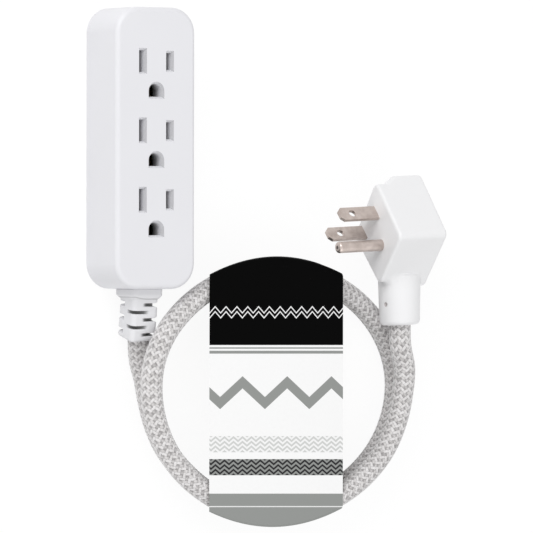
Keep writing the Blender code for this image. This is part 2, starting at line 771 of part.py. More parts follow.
def face_point(behind, across, ground):
    """World point from distances behind the face, across the blades and towards the ground pin."""
    roll = math.radians(PLUG_ROLL_DEG)
    towards_cord = ground * math.cos(roll) + across * math.sin(roll)
    return plug_point(behind, towards_cord, ground * math.sin(roll) - across * math.cos(roll))


def face_ring(behind, outline):
    return [face_point(behind, across, ground) for across, ground in outline]


def body_ring(behind, outline):
    return [plug_point(behind, towards_cord, above) for towards_cord, above in outline]


def neck_centre(reach):
    """Point on the neck's axis, easing up and towards the face past its straight part."""
    share = (reach - NECK_STRAIGHT) / (NECK_REACH - NECK_STRAIGHT)
    share = min(max(share, 0.0), 1.0)
    eased = share * share * (3 - 2 * share)
    return plug_point(
        NECK_BEHIND_FACE - NECK_SIDE * eased, reach, NECK_ABOVE_BLADES + NECK_RISE * eased
    )


def neck_frame(reach):
    step = 0.01 * MM
    along = (neck_centre(reach + step) - neck_centre(reach - step)).normalized()
    across = along.cross(Vector((0.0, 0.0, 1.0))).normalized()
    return neck_centre(reach), along, across, across.cross(along)


def neck_ring(reach, outline):
    centre, _, across, up = neck_frame(reach)
    return [centre + x * across + z * up for x, z in outline]


def make_plug_body(finish):
    """Overmoulded body on its corner edge, the cord's neck, the cavity for the core and the bore."""
    edge = PLUG_EDGE_ROUNDING
    levels = (
        (0.0, edge, PLUG_FACE_HALF),
        (0.3 * edge, 0.3 * edge, PLUG_FACE_HALF),
        (edge, 0.0, PLUG_FACE_HALF),
        (PLUG_STEP_START, 0.0, PLUG_FACE_HALF),
        (PLUG_STEP_END, 0.0, PLUG_BACK_HALF),
        (PLUG_DEPTH - edge, 0.0, PLUG_BACK_HALF),
        (PLUG_DEPTH - 0.3 * edge, 0.3 * edge, PLUG_BACK_HALF),
        (PLUG_DEPTH, edge, PLUG_BACK_HALF),
    )
    rings = [
        body_ring(behind, body_outline(half, inset, PLUG_CORNER - inset / 2))
        for behind, inset, half in levels
    ]
    body = add_object("plug_body", lofted("plug_body", [rings]), finish)

    tip_start = NECK_REACH - NECK_TIP_ROUNDING
    neck = [neck_ring(NECK_START, circle(NECK_RADIUS, 28))]
    for k in range(6):
        reach = NECK_STRAIGHT + (tip_start - NECK_STRAIGHT) * k / 5
        radius = NECK_RADIUS + (NECK_TIP_RADIUS - NECK_RADIUS) * k / 5
        neck.append(neck_ring(reach, circle(radius, 28)))
    for turned in (45, 90):
        lean = math.radians(turned)
        reach = tip_start + NECK_TIP_ROUNDING * math.sin(lean)
        radius = NECK_TIP_RADIUS - NECK_TIP_ROUNDING * (1 - math.cos(lean))
        neck.append(neck_ring(reach, circle(radius, 28)))
    join(body, "plug_neck", [neck])

    cavity = [body_ring(end, cavity_outline(0.0)) for end in (PLUG_FACE_WALL, PLUG_CAVITY_DEPTH)]
    cut(body, "plug_cavity", [cavity])
    bore = []
    for k in range(8):
        reach = NECK_BORE_START + (NECK_REACH + OVERCUT - NECK_BORE_START) * k / 7
        bore.append(neck_ring(reach, circle(NECK_BORE_RADIUS, 20)))
    cut(body, "neck_bore", [bore])
    openings = blade_openings(GAP, -OVERCUT, PLUG_FACE_WALL + OVERCUT)
    cut(body, "face_openings", openings)
    centre, _, across, up = neck_frame(NECK_PIT_REACH)
    lean = math.radians(NECK_PIT_DEG)
    out = math.cos(lean) * across + math.sin(lean) * up
    round_it = math.cos(lean) * up - math.sin(lean) * across
    along = neck_frame(NECK_PIT_REACH)[1]
    pit = [
        [centre + out * depth + along * x + round_it * z for x, z in circle(NECK_PIT_RADIUS, 10)]
        for depth in (NECK_RADIUS - NECK_PIT_DEPTH, NECK_RADIUS + OVERCUT)
    ]
    cut(body, "neck_pit", [pit])
    return body


def cavity_outline(inset):
    return body_outline(PLUG_FACE_HALF, PLUG_FACE_WALL + inset, corner=1.0 * MM, steps=2)


def face_prism(outline, near, far):
    return [face_ring(near, outline), face_ring(far, outline)]


def blade_openings(clearance, near, far):
    half_thick = BLADE_THICKNESS / 2 + clearance
    half_wide = BLADE_WIDTH / 2 + clearance
    stacks = []
    for side in (-1, 1):
        middle = side * BLADE_SPACING / 2
        outline = [
            (middle - half_thick, -half_wide),
            (middle + half_thick, -half_wide),
            (middle + half_thick, half_wide),
            (middle - half_thick, half_wide),
        ]
        stacks.append(face_prism(outline, near, far))
    pin = circle(PIN_RADIUS + clearance, 24, 0.0, GROUND_DISTANCE)
    stacks.append(face_prism(pin, near, far))
    return stacks


def make_plug_core(finish):
    far = PLUG_FACE_WALL + GAP + PLUG_CORE_DEPTH
    rings = [body_ring(end, cavity_outline(GAP)) for end in (PLUG_FACE_WALL + GAP, far)]
    core = add_object("plug_core", lofted("plug_core", [rings]), finish)
    cut(core, "core_openings", blade_openings(GAP, 0.0, far + OVERCUT))
    return core


def make_blade(name, side, finish):
    """Flat blade with a bevelled tip and its cross hole; the tail is held in the core."""
    middle = side * BLADE_SPACING / 2
    half = BLADE_WIDTH / 2
    bevel = BLADE_TIP_BEVEL
    tail_half = 0.7 * half
    tail_step = PLUG_FACE_WALL + GAP + PLUG_CORE_DEPTH + GAP
    side_view = [
        (-BLADE_LENGTH, bevel - half),
        (bevel - BLADE_LENGTH, -half),
        (tail_step, -half),
        (tail_step, -tail_half),
        (PLUG_TAIL, -tail_half),
        (PLUG_TAIL, tail_half),
        (tail_step, tail_half),
        (tail_step, half),
        (bevel - BLADE_LENGTH, half),
        (-BLADE_LENGTH, half - bevel),
    ]
    faces = (middle - BLADE_THICKNESS / 2, middle + BLADE_THICKNESS / 2)
    rings = [[face_point(behind, across, g) for behind, g in side_view] for across in faces]
    blade = add_object(name, lofted(name, [rings]), finish)
    hole = circle(BLADE_HOLE_RADIUS, 20, BLADE_HOLE_FROM_TIP - BLADE_LENGTH, 0.0)
    reach = BLADE_THICKNESS / 2 + OVERCUT
    cutter = [
        [face_point(behind, across, g) for behind, g in hole]
        for across in (middle - reach, middle + reach)
    ]
    cut(blade, f"{name}_hole", [cutter])
    return blade


def make_ground_pin(finish):
    rounding = PIN_TIP_ROUNDING
    profile = [(PLUG_TAIL, PIN_RADIUS)]
    for turned in (0, 30, 60, 90):
        lean = math.radians(turned)
        behind = rounding - PIN_LENGTH - rounding * math.sin(lean)
        profile.append((behind, PIN_RADIUS - rounding * (1 - math.cos(lean))))
    rings = [
        face_ring(behind, circle(radius, 20, 0.0, GROUND_DISTANCE)) for behind, radius in profile
    ]
    return add_object("plug_ground_pin", lofted("plug_ground_pin", [rings]), finish)


def make_plug_leads(neutral_finish, hot_finish, ground_finish):
    """Leads from the tails of the blades, through the bore, to the end of the neck."""
    roll = math.radians(PLUG_ROLL_DEG)
    near_cord, below = BLADE_SPACING / 2 * math.sin(roll), BLADE_SPACING / 2 * math.cos(roll)
    pin = (GROUND_DISTANCE * math.cos(roll), GROUND_DISTANCE * math.sin(roll))
    starts = {
        "plug_neutral_lead": (
            (9.8 * MM, -near_cord, below),
            (11.6 * MM, 0.0, 4.0 * MM),
            (11.9 * MM, 8.0 * MM, 2.4 * MM),
            (13.6 * MM, 14.0 * MM, 1.6 * MM),
        ),
        "plug_hot_lead": (
            (9.8 * MM, near_cord, -below),
            (10.8 * MM, 8.0 * MM, -3.9 * MM),
            (12.0 * MM, 13.0 * MM, -1.4 * MM),
        ),
        "plug_ground_lead": (
            (9.8 * MM, *pin),
            (10.6 * MM, 11.5 * MM, 6.6 * MM),
            (11.2 * MM, 14.5 * MM, 3.6 * MM),
        ),
    }
    finishes = (neutral_finish, hot_finish, ground_finish)
    for (name, start), finish, place in zip(starts.items(), finishes, (30, 270, 150)):
        sideways = LEAD_TWIST_RADIUS * math.cos(math.radians(place))
        upwards = LEAD_TWIST_RADIUS * math.sin(math.radians(place))
        points = [plug_point(*p) for p in start]
        for k in range(4):
            reach = 0.5 * NECK_REACH + (0.5 * NECK_REACH - GAP) * k / 3
            centre, _, across, up = neck_frame(reach)
            points.append(centre - sideways * across + upwards * up)
        tube(name, smooth_route(points, 2.4 * MM), PLUG_LEAD_RADIUS, finish)


# ---------------------------------------------------------------- cord


def strand_height(degrees):
    """Centre height along the coil: lower layer, one climb, and a hump over the strain relief."""
    share = (degrees - CLIMB_START_DEG) / (CLIMB_END_DEG - CLIMB_START_DEG)
    share = min(max(share, 0.0), 1.0)
    climb = share * share * (3 - 2 * share)
    from_hump = (degrees - HUMP_DEG) / HUMP_HALF_WIDTH_DEG
    hump = math.cos(math.pi / 2 * from_hump) ** 2 if abs(from_hump) < 1 else 0.0
    return CORD_LIFT + CORD_RADIUS + STRAND_SPACING * climb + HUMP_HEIGHT * hump, climb, hump


def coil_point(degrees):
    """Point of the coil: an oval of unlike halves, drifting from the lower one to the upper one."""
    height, climb, hump = strand_height(degrees)
    angle = math.radians(degrees)
    half = 1 if math.sin(angle) > 0 else 2
    lower_y, upper_y = LOWER_RADII[half], UPPER_RADII[half]
    centre_x = LOWER_CENTRE[0] + (UPPER_CENTRE[0] - LOWER_CENTRE[0]) * climb
    centre_y = LOWER_CENTRE[1] + (UPPER_CENTRE[1] - LOWER_CENTRE[1]) * climb
    radius_x = LOWER_RADII[0] + (UPPER_RADII[0] - LOWER_RADII[0]) * climb
    radius_y = lower_y + (upper_y - lower_y) * climb
    return Vector(
        (
            centre_x + radius_x * math.cos(angle) - HUMP_SIDE * hump,
            centre_y + radius_y * math.sin(angle),
            height,
        )
    )


def cord_route():
    """Straight out of the strain relief, down onto the table, round the coil, and into the neck."""
    diameter = 2 * CORD_RADIUS
    mouth, out, _, _ = relief_frame(RELIEF_LENGTH)
    end, into, _, _ = neck_frame(NECK_REACH)
    first = mouth + GAP * out
    last = end + GAP * into
    floor = CORD_LIFT + CORD_RADIUS
    step = 360 / POINTS_PER_TURN
    count = round((COIL_END_DEG - COIL_START_DEG) / step)
    coil = [coil_point(COIL_START_DEG + step * k) for k in range(count + 1)]
    lead_in = [(x, y, floor) for x, y in LEAD_IN_PLACES]
    spacing = 1.4 * diameter
    joined = smooth_route([first, first + diameter * out, *lead_in, *coil[:2]], spacing)
    parted = smooth_route([*coil[-2:], *LEAD_OUT_POINTS, last + diameter * into, last], spacing)
    return [*joined, *coil[2:-2], *parted]


def least_gap(route, radius):
    """Least distance between the surfaces of stretches that aren't neighbours, from close points."""
    given = np.array([tuple(p) for p in route])
    along = np.concatenate([[0.0], np.cumsum(np.linalg.norm(np.diff(given, axis=0), axis=1))])
    places = np.arange(0.0, along[-1], 0.1 * radius)
    points = np.stack([np.interp(places, along, given[:, k]) for k in range(3)], axis=1)
    apart = np.linalg.norm(points[:, None] - points[None], axis=2)
    apart[np.abs(places[:, None] - places[None]) < 6 * radius] = np.inf
    return apart.min() - 2 * radius, along[-1]


def make_cord(finish):
    route = cord_route()
    gap, length = least_gap(route, CORD_RADIUS)
    print(f"cord: {length:.3f} m long, {len(route)} points, least gap to itself {gap / MM:.2f} mm")
    return tube("braided_cord", route, CORD_RADIUS, finish, resolution=1)


# ---------------------------------------------------------------- card sleeve


def sleeve_loop(share, inset):
    """Closed loop of the band at a share of its width; both folds are arched like the coil."""
    section = rounded_rectangle(
        SLEEVE_NEAR_Y + inset,
        SLEEVE_FAR_Y - inset,
        inset,
        SLEEVE_HEIGHT - inset,
        SLEEVE_FOLD_RADIUS - inset,
        steps=4,
    )
    middle_y = (SLEEVE_NEAR_Y + SLEEVE_FAR_Y) / 2
    middle_x = (SLEEVE_LEFT + SLEEVE_RIGHT) / 2
    points = []
    for y, z in section:
        lean = SLEEVE_LEAN * (SLEEVE_HEIGHT - z)
        left = SLEEVE_LEFT + lean
        x = left + (SLEEVE_RIGHT - left) * share
        from_middle = 2 * (x - lean - middle_x) / (SLEEVE_RIGHT - SLEEVE_LEFT)
        fall = -SLEEVE_FAR_FALL if y > middle_y else SLEEVE_NEAR_FALL
        points.append((x, y + fall * from_middle**2, z))
    return points


def make_card_sleeve(finish):
    """A band of card round the coil, open to both sides, with its folds curved like the coil."""
    stations = [k / SLEEVE_STATIONS for k in range(SLEEVE_STATIONS + 1)]
    outer = [sleeve_loop(share, 0.0) for share in stations]
    inner = [sleeve_loop(share, CARD) for share in stations]
    shape = bmesh.new()
    outside = [[shape.verts.new(p) for p in ring] for ring in outer]
    inside = [[shape.verts.new(p) for p in ring] for ring in inner]
    rows = [*outside, *reversed(inside)]
    count = len(rows[0])
    for low, high in zip(rows, [*rows[1:], rows[0]]):
        for i in range(count):
            j = (i + 1) % count
            shape.faces.new((low[i], low[j], high[j], high[i]))
    bmesh.ops.recalc_face_normals(shape, faces=shape.faces)
    mesh = bpy.data.meshes.new("card_sleeve")
    shape.to_mesh(mesh)
    shape.free()
    return add_object("card_sleeve", mesh, finish)


# ---------------------------------------------------------------- assembly


def main():
    clear_scene()
    white = material("white_housing", (0.80, 0.81, 0.83), 0.38)
    soft_white = material("soft_white_pvc", (0.74, 0.75, 0.77), 0.5)
    natural = material("natural_nylon", (0.72, 0.68, 0.58), 0.5)
    brass = material("brass_sheet", (0.70, 0.52, 0.24), 0.35, 1.0)
    nickel = material("nickel_plate", (0.55, 0.48, 0.43), 0.32, 1.0)
    steel = material("zinc_steel", (0.62, 0.63, 0.64), 0.35, 1.0)
    braid = material("heather_braid", (0.66, 0.65, 0.65), 0.85)
    card = material("printed_card", (0.80, 0.80, 0.80), 0.45)
    white_lead = material("white_lead", (0.75, 0.75, 0.73), 0.45)
    black_lead = material("black_lead", (0.02, 0.02, 0.02), 0.45)
    green_lead = material("green_lead", (0.02, 0.25, 0.06), 0.45)

    make_front_cover(white)
    make_back_cover(white)
    for number, (x, y) in enumerate(screw_places(), start=1):
        make_screw(number, x, y, steel)
    make_carrier(natural)
    bar_solid("neutral_bar", -BAR_MIDDLE_X, BAR_WIDTH, brass)
    bar_solid("hot_bar", BAR_MIDDLE_X, BAR_WIDTH, brass)
    make_ground_bar(brass)
    for outlet in range(OUTLET_COUNT):
        y = slot_line(outlet)
        make_blade_contact(f"neutral_contact_{outlet + 1}", -BLADE_SPACING / 2, y, brass)
        make_blade_contact(f"hot_contact_{outlet + 1}", BLADE_SPACING / 2, y, brass)
        make_pin_contact(f"ground_contact_{outlet + 1}", y - GROUND_DISTANCE, brass)
    make_strip_leads(white_lead, black_lead, green_lead)
    make_strain_relief(soft_white)
    make_cord(braid)
    make_plug_body(white)
    make_plug_core(natural)
    make_blade("plug_neutral_blade", -1, nickel)
    make_blade("plug_hot_blade", 1, nickel)
    make_ground_pin(nickel)
    make_plug_leads(white_lead, black_lead, green_lead)
    make_card_sleeve(card)


main()
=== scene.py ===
"""Looks of the short three-outlet extension cord, laid out as it is put together: the cord, the
plug on its end, the outlet strip with its strain relief, and the card sleeve that holds the coil.
Lengths are in metres."""

import math

import bmesh
import bpy
import numpy as np
from mathutils import Matrix, Vector


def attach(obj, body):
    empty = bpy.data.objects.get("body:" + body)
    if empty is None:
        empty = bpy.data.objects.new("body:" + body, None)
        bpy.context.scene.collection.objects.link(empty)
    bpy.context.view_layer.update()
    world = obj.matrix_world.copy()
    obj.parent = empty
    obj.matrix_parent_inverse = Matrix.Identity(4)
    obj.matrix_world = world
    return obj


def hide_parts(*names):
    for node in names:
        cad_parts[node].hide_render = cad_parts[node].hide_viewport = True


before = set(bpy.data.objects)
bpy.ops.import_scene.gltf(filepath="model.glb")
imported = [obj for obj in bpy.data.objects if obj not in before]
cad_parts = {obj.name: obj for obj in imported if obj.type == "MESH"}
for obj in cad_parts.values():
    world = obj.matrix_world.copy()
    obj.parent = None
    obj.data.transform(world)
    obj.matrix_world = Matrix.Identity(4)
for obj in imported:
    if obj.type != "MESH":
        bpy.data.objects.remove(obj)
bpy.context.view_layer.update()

# Camera: a long lens above the outlet strip's left side, looking across to the coil.
# Everything stands on a table at height zero.
view_yaw, view_pitch, view_roll = (math.radians(a) for a in (32.136, -0.524, 0.095))
view_centre, view_distance = Vector((0.059944, -0.047972, 0.012)), 2.5
back = Vector(
    (
        -math.sin(view_yaw) * math.cos(view_pitch),
        -math.sin(view_pitch),
        math.cos(view_yaw) * math.cos(view_pitch),
    )
)
level = Vector((math.cos(view_yaw), 0.0, math.sin(view_yaw)))
upright = back.cross(level)
right = math.cos(view_roll) * level + math.sin(view_roll) * upright
over = math.cos(view_roll) * upright - math.sin(view_roll) * level
camera = bpy.data.objects.new("camera", bpy.data.cameras.new("camera"))
camera.data.sensor_width = 36.0
camera.data.lens = 412.22
camera.data.clip_end = 20.0
place = Matrix.Translation(view_centre + view_distance * back)
camera.matrix_world = place @ Matrix((right, over, back)).transposed().to_4x4()
bpy.context.scene.collection.objects.link(camera)
bpy.context.scene.camera = camera


# Braided cord: three wires under a textile braid of sixteen flat strands each way, two over and
# two under, so that the floats stand in rows of chevrons. It leaves the strain relief, lies on
# the table, winds once and two thirds round the coil and ends inside the plug's neck.
CORD_RADIUS = 0.0045
GAP_DEPTH, CROWN_HEIGHT = 0.00022, 0.00026  # of the braid, below the radius and above its gaps
STRANDS = 16  # each way
CHEVRONS = 370  # strands of one row, along the whole cord
MESH_STEPS = 4  # points to a strand, along the cord and round it
CORD_ROUTE = 0.001 * np.array(
    [
        (1.3, -76.8, 8.0), (3.3, -85.2, 5.5), (5.7, -93.5, 5.4), (7.5, -102.0, 5.4),
        (10.3, -111.5, 5.4), (15.6, -121.9, 5.4), (24.9, -132.1, 5.4), (36.7, -140.4, 5.4),
        (50.8, -146.3, 5.4), (66.6, -148.0, 5.4), (82.4, -146.3, 5.4), (97.1, -141.2, 5.4),
        (109.7, -133.2, 5.4), (119.4, -122.8, 5.4), (125.5, -110.6, 5.4), (127.6, -97.6, 5.4),
        (125.5, -85.3, 5.4), (119.4, -73.8, 5.4), (109.5, -63.9, 6.0), (96.6, -56.3, 7.1),
        (81.5, -51.4, 8.6), (65.3, -49.7, 10.2), (49.1, -51.2, 11.8), (34.1, -56.0, 13.3),
        (20.2, -63.7, 15.7), (8.9, -73.7, 18.2), (3.0, -85.4, 18.1), (2.5, -98.0, 16.2),
        (5.5, -111.1, 15.0), (11.5, -123.4, 15.0), (21.1, -133.9, 15.0), (33.6, -142.0, 15.0),
        (48.2, -147.1, 15.0), (63.9, -148.8, 15.0), (79.6, -147.1, 15.0), (94.1, -142.0, 15.0),
        (106.7, -133.9, 15.0), (116.3, -123.4, 15.0), (122.3, -111.1, 15.0),
        (124.3, -99.2, 16.1), (124.4, -90.2, 17.0), (121.7, -80.8, 18.2), (121.3, -71.8, 18.2),
    ]
)


def through(points, count):
    """Points at equal steps on a curve through the given ones: each stretch is the Catmull-Rom
    blend of its four neighbours, walked finely and then divided by its running length."""
    fine_steps = 60
    ends = np.vstack([2 * points[0] - points[1], points, 2 * points[-1] - points[-2]])
    share = np.linspace(0, 1, fine_steps, endpoint=False)[None, :, None]
    a, b, c, d = (ends[k : len(ends) - 3 + k, None] for k in range(4))
    curve = b + 0.5 * share * (
        c - a + share * (2 * a - 5 * b + 4 * c - d + share * (3 * (b - c) + d - a))
    )
    curve = np.vstack([curve.reshape(-1, 3), points[-1]])
    run = np.concatenate([[0], np.cumsum(np.linalg.norm(np.diff(curve, axis=0), axis=1))])
    steps = np.linspace(0, run[-1], count)
    return np.stack([np.interp(steps, run, curve[:, k]) for k in range(3)], 1)


def unit(vectors):
    """The vectors divided by their lengths."""
    return vectors / np.linalg.norm(vectors, axis=-1, keepdims=True)


def braid_height(across, along):
    """Height of the braid, 0 in the gaps to 1 on the crowns. Strands of one slant are counted by
    the sum of the two coordinates and of the other by their difference; of every four cells along
    a strand it is on top in two, where it is rounded across and dips at both ends of its float."""
    a, b = across + along, across - along
    i, j = np.floor(a), np.floor(b)
    first = (i + j) % 4 < 2
    side = np.where(first, a - i, b - j) - 0.5
    float_share = np.where(first, (b + i) % 4, (a + j - 2) % 4) / 2
    return (1 - (2 * side) ** 2) * (1 - (2 * float_share - 1) ** 4)


def grid_mesh(name, points, uv=None, closed=(False, False)):
    """Mesh of a surface given as an array of rows of points, with faces between neighbours, the
    last row or column joined to the first where closed says so, and a UV map per face corner."""
    rows, columns = points.shape[:2]
    i, j = np.meshgrid(
        np.arange(rows - (not closed[0])), np.arange(columns - (not closed[1])), indexing="ij"
    )
    step_i, step_j = (i + 1) % rows, (j + 1) % columns
    faces = np.stack(
        [i * columns + j, i * columns + step_j, step_i * columns + step_j, step_i * columns + j], -1
    ).reshape(-1, 4)
    mesh = bpy.data.meshes.new(name)
    mesh.from_pydata(points.reshape(-1, 3), [], faces)
    if uv is not None:
        corners = np.stack(
            [uv(i, j), uv(i, j + 1), uv(i + 1, j + 1), uv(i + 1, j)], -2
        ).reshape(-1, 2)
        mesh.uv_layers.new(name="UVMap").data.foreach_set("uv", corners.astype(np.float32).ravel())
    mesh.shade_smooth()
    return mesh


def close_skin(mesh, ends=()):
    """Closes each open end, given as the numbers of its points, with one face, and turns all
    faces outwards."""
    shape = bmesh.new()
    shape.from_mesh(mesh)
    shape.verts.ensure_lookup_table()
    for end in ends:
        shape.faces.new([shape.verts[k] for k in end])
    bmesh.ops.recalc_face_normals(shape, faces=shape.faces)
    shape.to_mesh(mesh)
    shape.free()


def add_piece(name, mesh, finish, stands_for):
    """Puts a piece in the scene for the CAD nodes that it stands for, riding on the object."""
    piece = bpy.data.objects.new(name, mesh)
    bpy.context.scene.collection.objects.link(piece)
    mesh.materials.clear()
    mesh.materials.append(finish)
    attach(piece, "root")
    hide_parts(*stands_for)
    return piece


def put(tree, kind, *sources, **settings):
    """Adds a shader node: settings are its properties, sources are pairs of input and what feeds
    it, which is another node's output or a plain value."""
    made = tree.nodes.new("ShaderNode" + kind)
    for key, value in settings.items():
        setattr(made, key, value)
    for where, source in sources:
        if isinstance(source, bpy.types.NodeSocket):
            tree.links.new(source, made.inputs[where])
        else:
            made.inputs[where].default_value = source
    return made


def calc(tree, operation, *values):
    """The result of a Math node, whose inputs are outputs or plain numbers."""
    return put(tree, "Math", *enumerate(values), operation=operation).outputs[0]


def blend_colour(tree, share, first, second, mode="MIX"):
    """Mixes two colours, each an output or three numbers, by a share from 0 to 1."""
    sources = [(0, share)]
    for where, colour in ((6, first), (7, second)):
        plain = not isinstance(colour, bpy.types.NodeSocket)
        sources.append((where, (*colour, 1.0) if plain else colour))
    return put(tree, "Mix", *sources, data_type="RGBA", blend_type=mode).outputs[2]


def noise(tree, where, scale, detail, roughness=0.5):
    """Cloudy noise between 0 and 1, so many times to a metre or to a strand as the scale says."""
    return put(
        tree, "TexNoise", ("Vector", where), ("Scale", scale), ("Detail", detail),
        ("Roughness", roughness),
    ).outputs["Fac"]


def new_finish(name, **fixed):
    """A material whose shader takes fixed values by input name, and the parts to build on it."""
    finish = bpy.data.materials.new(name)
    finish.use_nodes = True
    tree = finish.node_tree
    shader = tree.nodes["Principled BSDF"]
    for key, value in fixed.items():
        shader.inputs[key.replace("_", " ")].default_value = value
    return finish, tree, shader


def braid_finish():
    """Braid of heather yarn: every second strand is spun greyer than the next, and painted shade
    makes it greyer still towards where it dives. Each is a mix of white and grey fibres that run
    along it, and painted shade darkens it in the gaps and where it dives under another."""
    dark_fibres, mixed_fibres = (0.34, 0.325, 0.325, 1.0), (0.69, 0.67, 0.665, 1.0)
    pale_fibres = (0.84, 0.825, 0.83, 1.0)
    # the middle one is the colour of the painted shade in the braid's gaps and where a strand dives
    wander_by, painted_gap_shade, bump_depth = 0.42, 0.58, 0.00015
    finish, tree, shader = new_finish(
        "heather_braid", Roughness=0.9, Sheen_Weight=1.0, Sheen_Roughness=0.5
    )

    def vector(operation, first, *second):
        return put(tree, "VectorMath", (0, first), *second, operation=operation).outputs[0]

    place = put(tree, "UVMap", uv_map="UVMap").outputs[0]
    wander = put(tree, "TexNoise", ("Vector", place), ("Scale", 1.5), ("Detail", 4.0))
    wander = vector("SUBTRACT", wander.outputs["Color"], (1, (0.5, 0.5, 0.5)))
    wander = vector("SCALE", wander, ("Scale", wander_by))
    split = put(tree, "SeparateXYZ", (0, vector("ADD", place, (1, wander)))).outputs
    a = calc(tree, "ADD", split[0], split[1])
    b = calc(tree, "SUBTRACT", split[0], split[1])
    i, j = calc(tree, "FLOOR", a), calc(tree, "FLOOR", b)
    cell = calc(tree, "FLOORED_MODULO", calc(tree, "ADD", i, j), 4.0)
    first = calc(tree, "LESS_THAN", cell, 1.5)
    second = calc(tree, "SUBTRACT", 1.0, first)

    def chosen(one, other):
        one, other = calc(tree, "MULTIPLY", one, first), calc(tree, "MULTIPLY", other, second)
        return calc(tree, "ADD", one, other)

    side = chosen(calc(tree, "SUBTRACT", a, i), calc(tree, "SUBTRACT", b, j))
    run_a = calc(tree, "FLOORED_MODULO", calc(tree, "ADD", b, i), 4.0)
    run_b = calc(tree, "FLOORED_MODULO", calc(tree, "SUBTRACT", calc(tree, "ADD", a, j), 2.0), 4.0)
    run = calc(tree, "MULTIPLY", chosen(run_a, run_b), 0.5)
    strand = chosen(i, calc(tree, "ADD", j, 1.0))
    crown = calc(tree, "MULTIPLY_ADD", side, 2.0, -1.0)
    crown = calc(tree, "SUBTRACT", 1.0, calc(tree, "POWER", calc(tree, "ABSOLUTE", crown), 3.0))
    from_top = calc(tree, "ABSOLUTE", calc(tree, "MULTIPLY_ADD", run, 2.0, -1.0))
    dive = calc(tree, "SUBTRACT", 1.0, calc(tree, "POWER", from_top, 4.0))
    height = calc(tree, "MULTIPLY", crown, dive)

    greyer = calc(tree, "FLOORED_MODULO", strand, 2.0)
    greyer = calc(tree, "MULTIPLY", greyer, calc(tree, "MULTIPLY_ADD", first, 0.4, 0.6))
    # real two-tone strands, with painted shade making the grey ones greyer towards the ends of
    # their floats, where they dive
    greyer = calc(tree, "MULTIPLY", greyer, calc(tree, "MULTIPLY_ADD", from_top, 0.65, 0.35))
    fibre_place = put(
        tree, "CombineXYZ", (0, calc(tree, "MULTIPLY", chosen(b, a), 1.6)),
        (1, calc(tree, "MULTIPLY", side, 5.0)), (2, calc(tree, "MULTIPLY", strand, 3.7)),
    ).outputs[0]
    fibre = noise(tree, fibre_place, 1.5, 3.0, 0.65)
    patch = noise(tree, place, 0.45, 2.0)
    shade = calc(tree, "MULTIPLY_ADD", greyer, -0.60, calc(tree, "MULTIPLY_ADD", fibre, 0.9, 0.26))
    shade = calc(tree, "MULTIPLY_ADD", patch, 0.66, calc(tree, "SUBTRACT", shade, 0.40))
    shades = put(tree, "ValToRGB", (0, shade))
    ramp = shades.color_ramp
    ramp.elements[0].position, ramp.elements[1].position = 0.16, 0.84
    ramp.elements[0].color, ramp.elements[1].color = dark_fibres, pale_fibres
    ramp.elements.new(0.50).color = mixed_fibres
    # painted shade: the colour darkens where the braid is low, in the gaps between strands and
    # where a strand dives under another
    deep = put(tree, "MapRange", (0, height), (2, 0.4), (3, painted_gap_shade)).outputs[0]
    grey = put(tree, "CombineColor", (0, deep), (1, deep), (2, deep)).outputs[0]
    colour = blend_colour(tree, 1.0, shades.outputs[0], grey, "MULTIPLY")
    tree.links.new(colour, shader.inputs["Base Color"])
    relief = calc(tree, "MULTIPLY_ADD", fibre, 0.8, height)
    bump = put(tree, "Bump", ("Strength", 0.5), ("Distance", bump_depth), ("Height", relief))
    tree.links.new(bump.outputs[0], shader.inputs["Normal"])
    return finish


def make_cord():
    """Tube round the route: at each step the two directions across are the level one and the one
    square to it and the cord, and the radius follows the braid's height at that angle and length.
    The mesh steps put points on every crown and in every gap. Both ends run one millimetre into
    the moulding that holds them."""
    rings, sides, tuck = MESH_STEPS * CHEVRONS + 1, MESH_STEPS * STRANDS, 0.001
    line = through(CORD_ROUTE, rings)
    line[0] += tuck * unit(CORD_ROUTE[0] - CORD_ROUTE[1])
    line[-1] += tuck * unit(CORD_ROUTE[-1] - CORD_ROUTE[-2])
    ahead = unit(np.gradient(line, axis=0))
    across = unit(np.cross(ahead, (0.0, 0.0, 1.0)))
    above = np.cross(across, ahead)
    turn = 2 * math.pi * np.arange(sides)[:, None] / sides
    ring = np.cos(turn) * across[:, None] + np.sin(turn) * above[:, None]
    round_cord, along_cord = np.arange(sides)[None], np.arange(rings)[:, None]
    braid = braid_height(round_cord / MESH_STEPS, along_cord / MESH_STEPS)
    radius = (CORD_RADIUS - GAP_DEPTH + CROWN_HEIGHT * braid)[..., None]

    def braid_place(i, j):
        return np.stack([j / MESH_STEPS, i / MESH_STEPS], -1)

    mesh = grid_mesh("cord_braid", line[:, None] + radius * ring, braid_place, (False, True))
    last = (rings - 1) * sides
    close_skin(mesh, [range(sides)[::-1], range(last, last + sides)])
    return add_piece("cord_braid", mesh, braid_finish(), ["braided_cord"]), line


cord_braid, cord_line = make_cord()


# Plug: white PVC moulded over the core and round the end of the cord. It stands on one corner
# edge, its face turned to the strip; the soft neck leaves it square to the blades.
PLUG_FACE = np.array((0.1076, -0.0301, 0.01647))  # middle of the blade line
PLUG_BACK = np.array((0.99897, 0.04536, 0.0))
PLUG_CORDWARDS = np.array((0.04536, -0.99897, 0.0))
PLUG_DEPTH, PLUG_TOP, RIDGE_AT = 0.0236, 0.0229, 0.0056  # ridge: from the face's middle
PLUG_SQUASH, PLUG_CORNER, PLUG_EDGE = 0.8165, 0.0031, 0.0013  # height over length, roundings
# Half diagonals: at the face, added by the step, in full, and on both sides of the ridge.
FACE_HALF, STEP_OUT, STEP_FROM, STEP_LONG = 0.0218, 0.0028, 0.0048, 0.0055
FULL_HALF, HALF_CORDWARDS, HALF_OTHER_WAY = 0.0246, 0.0231, 0.0264
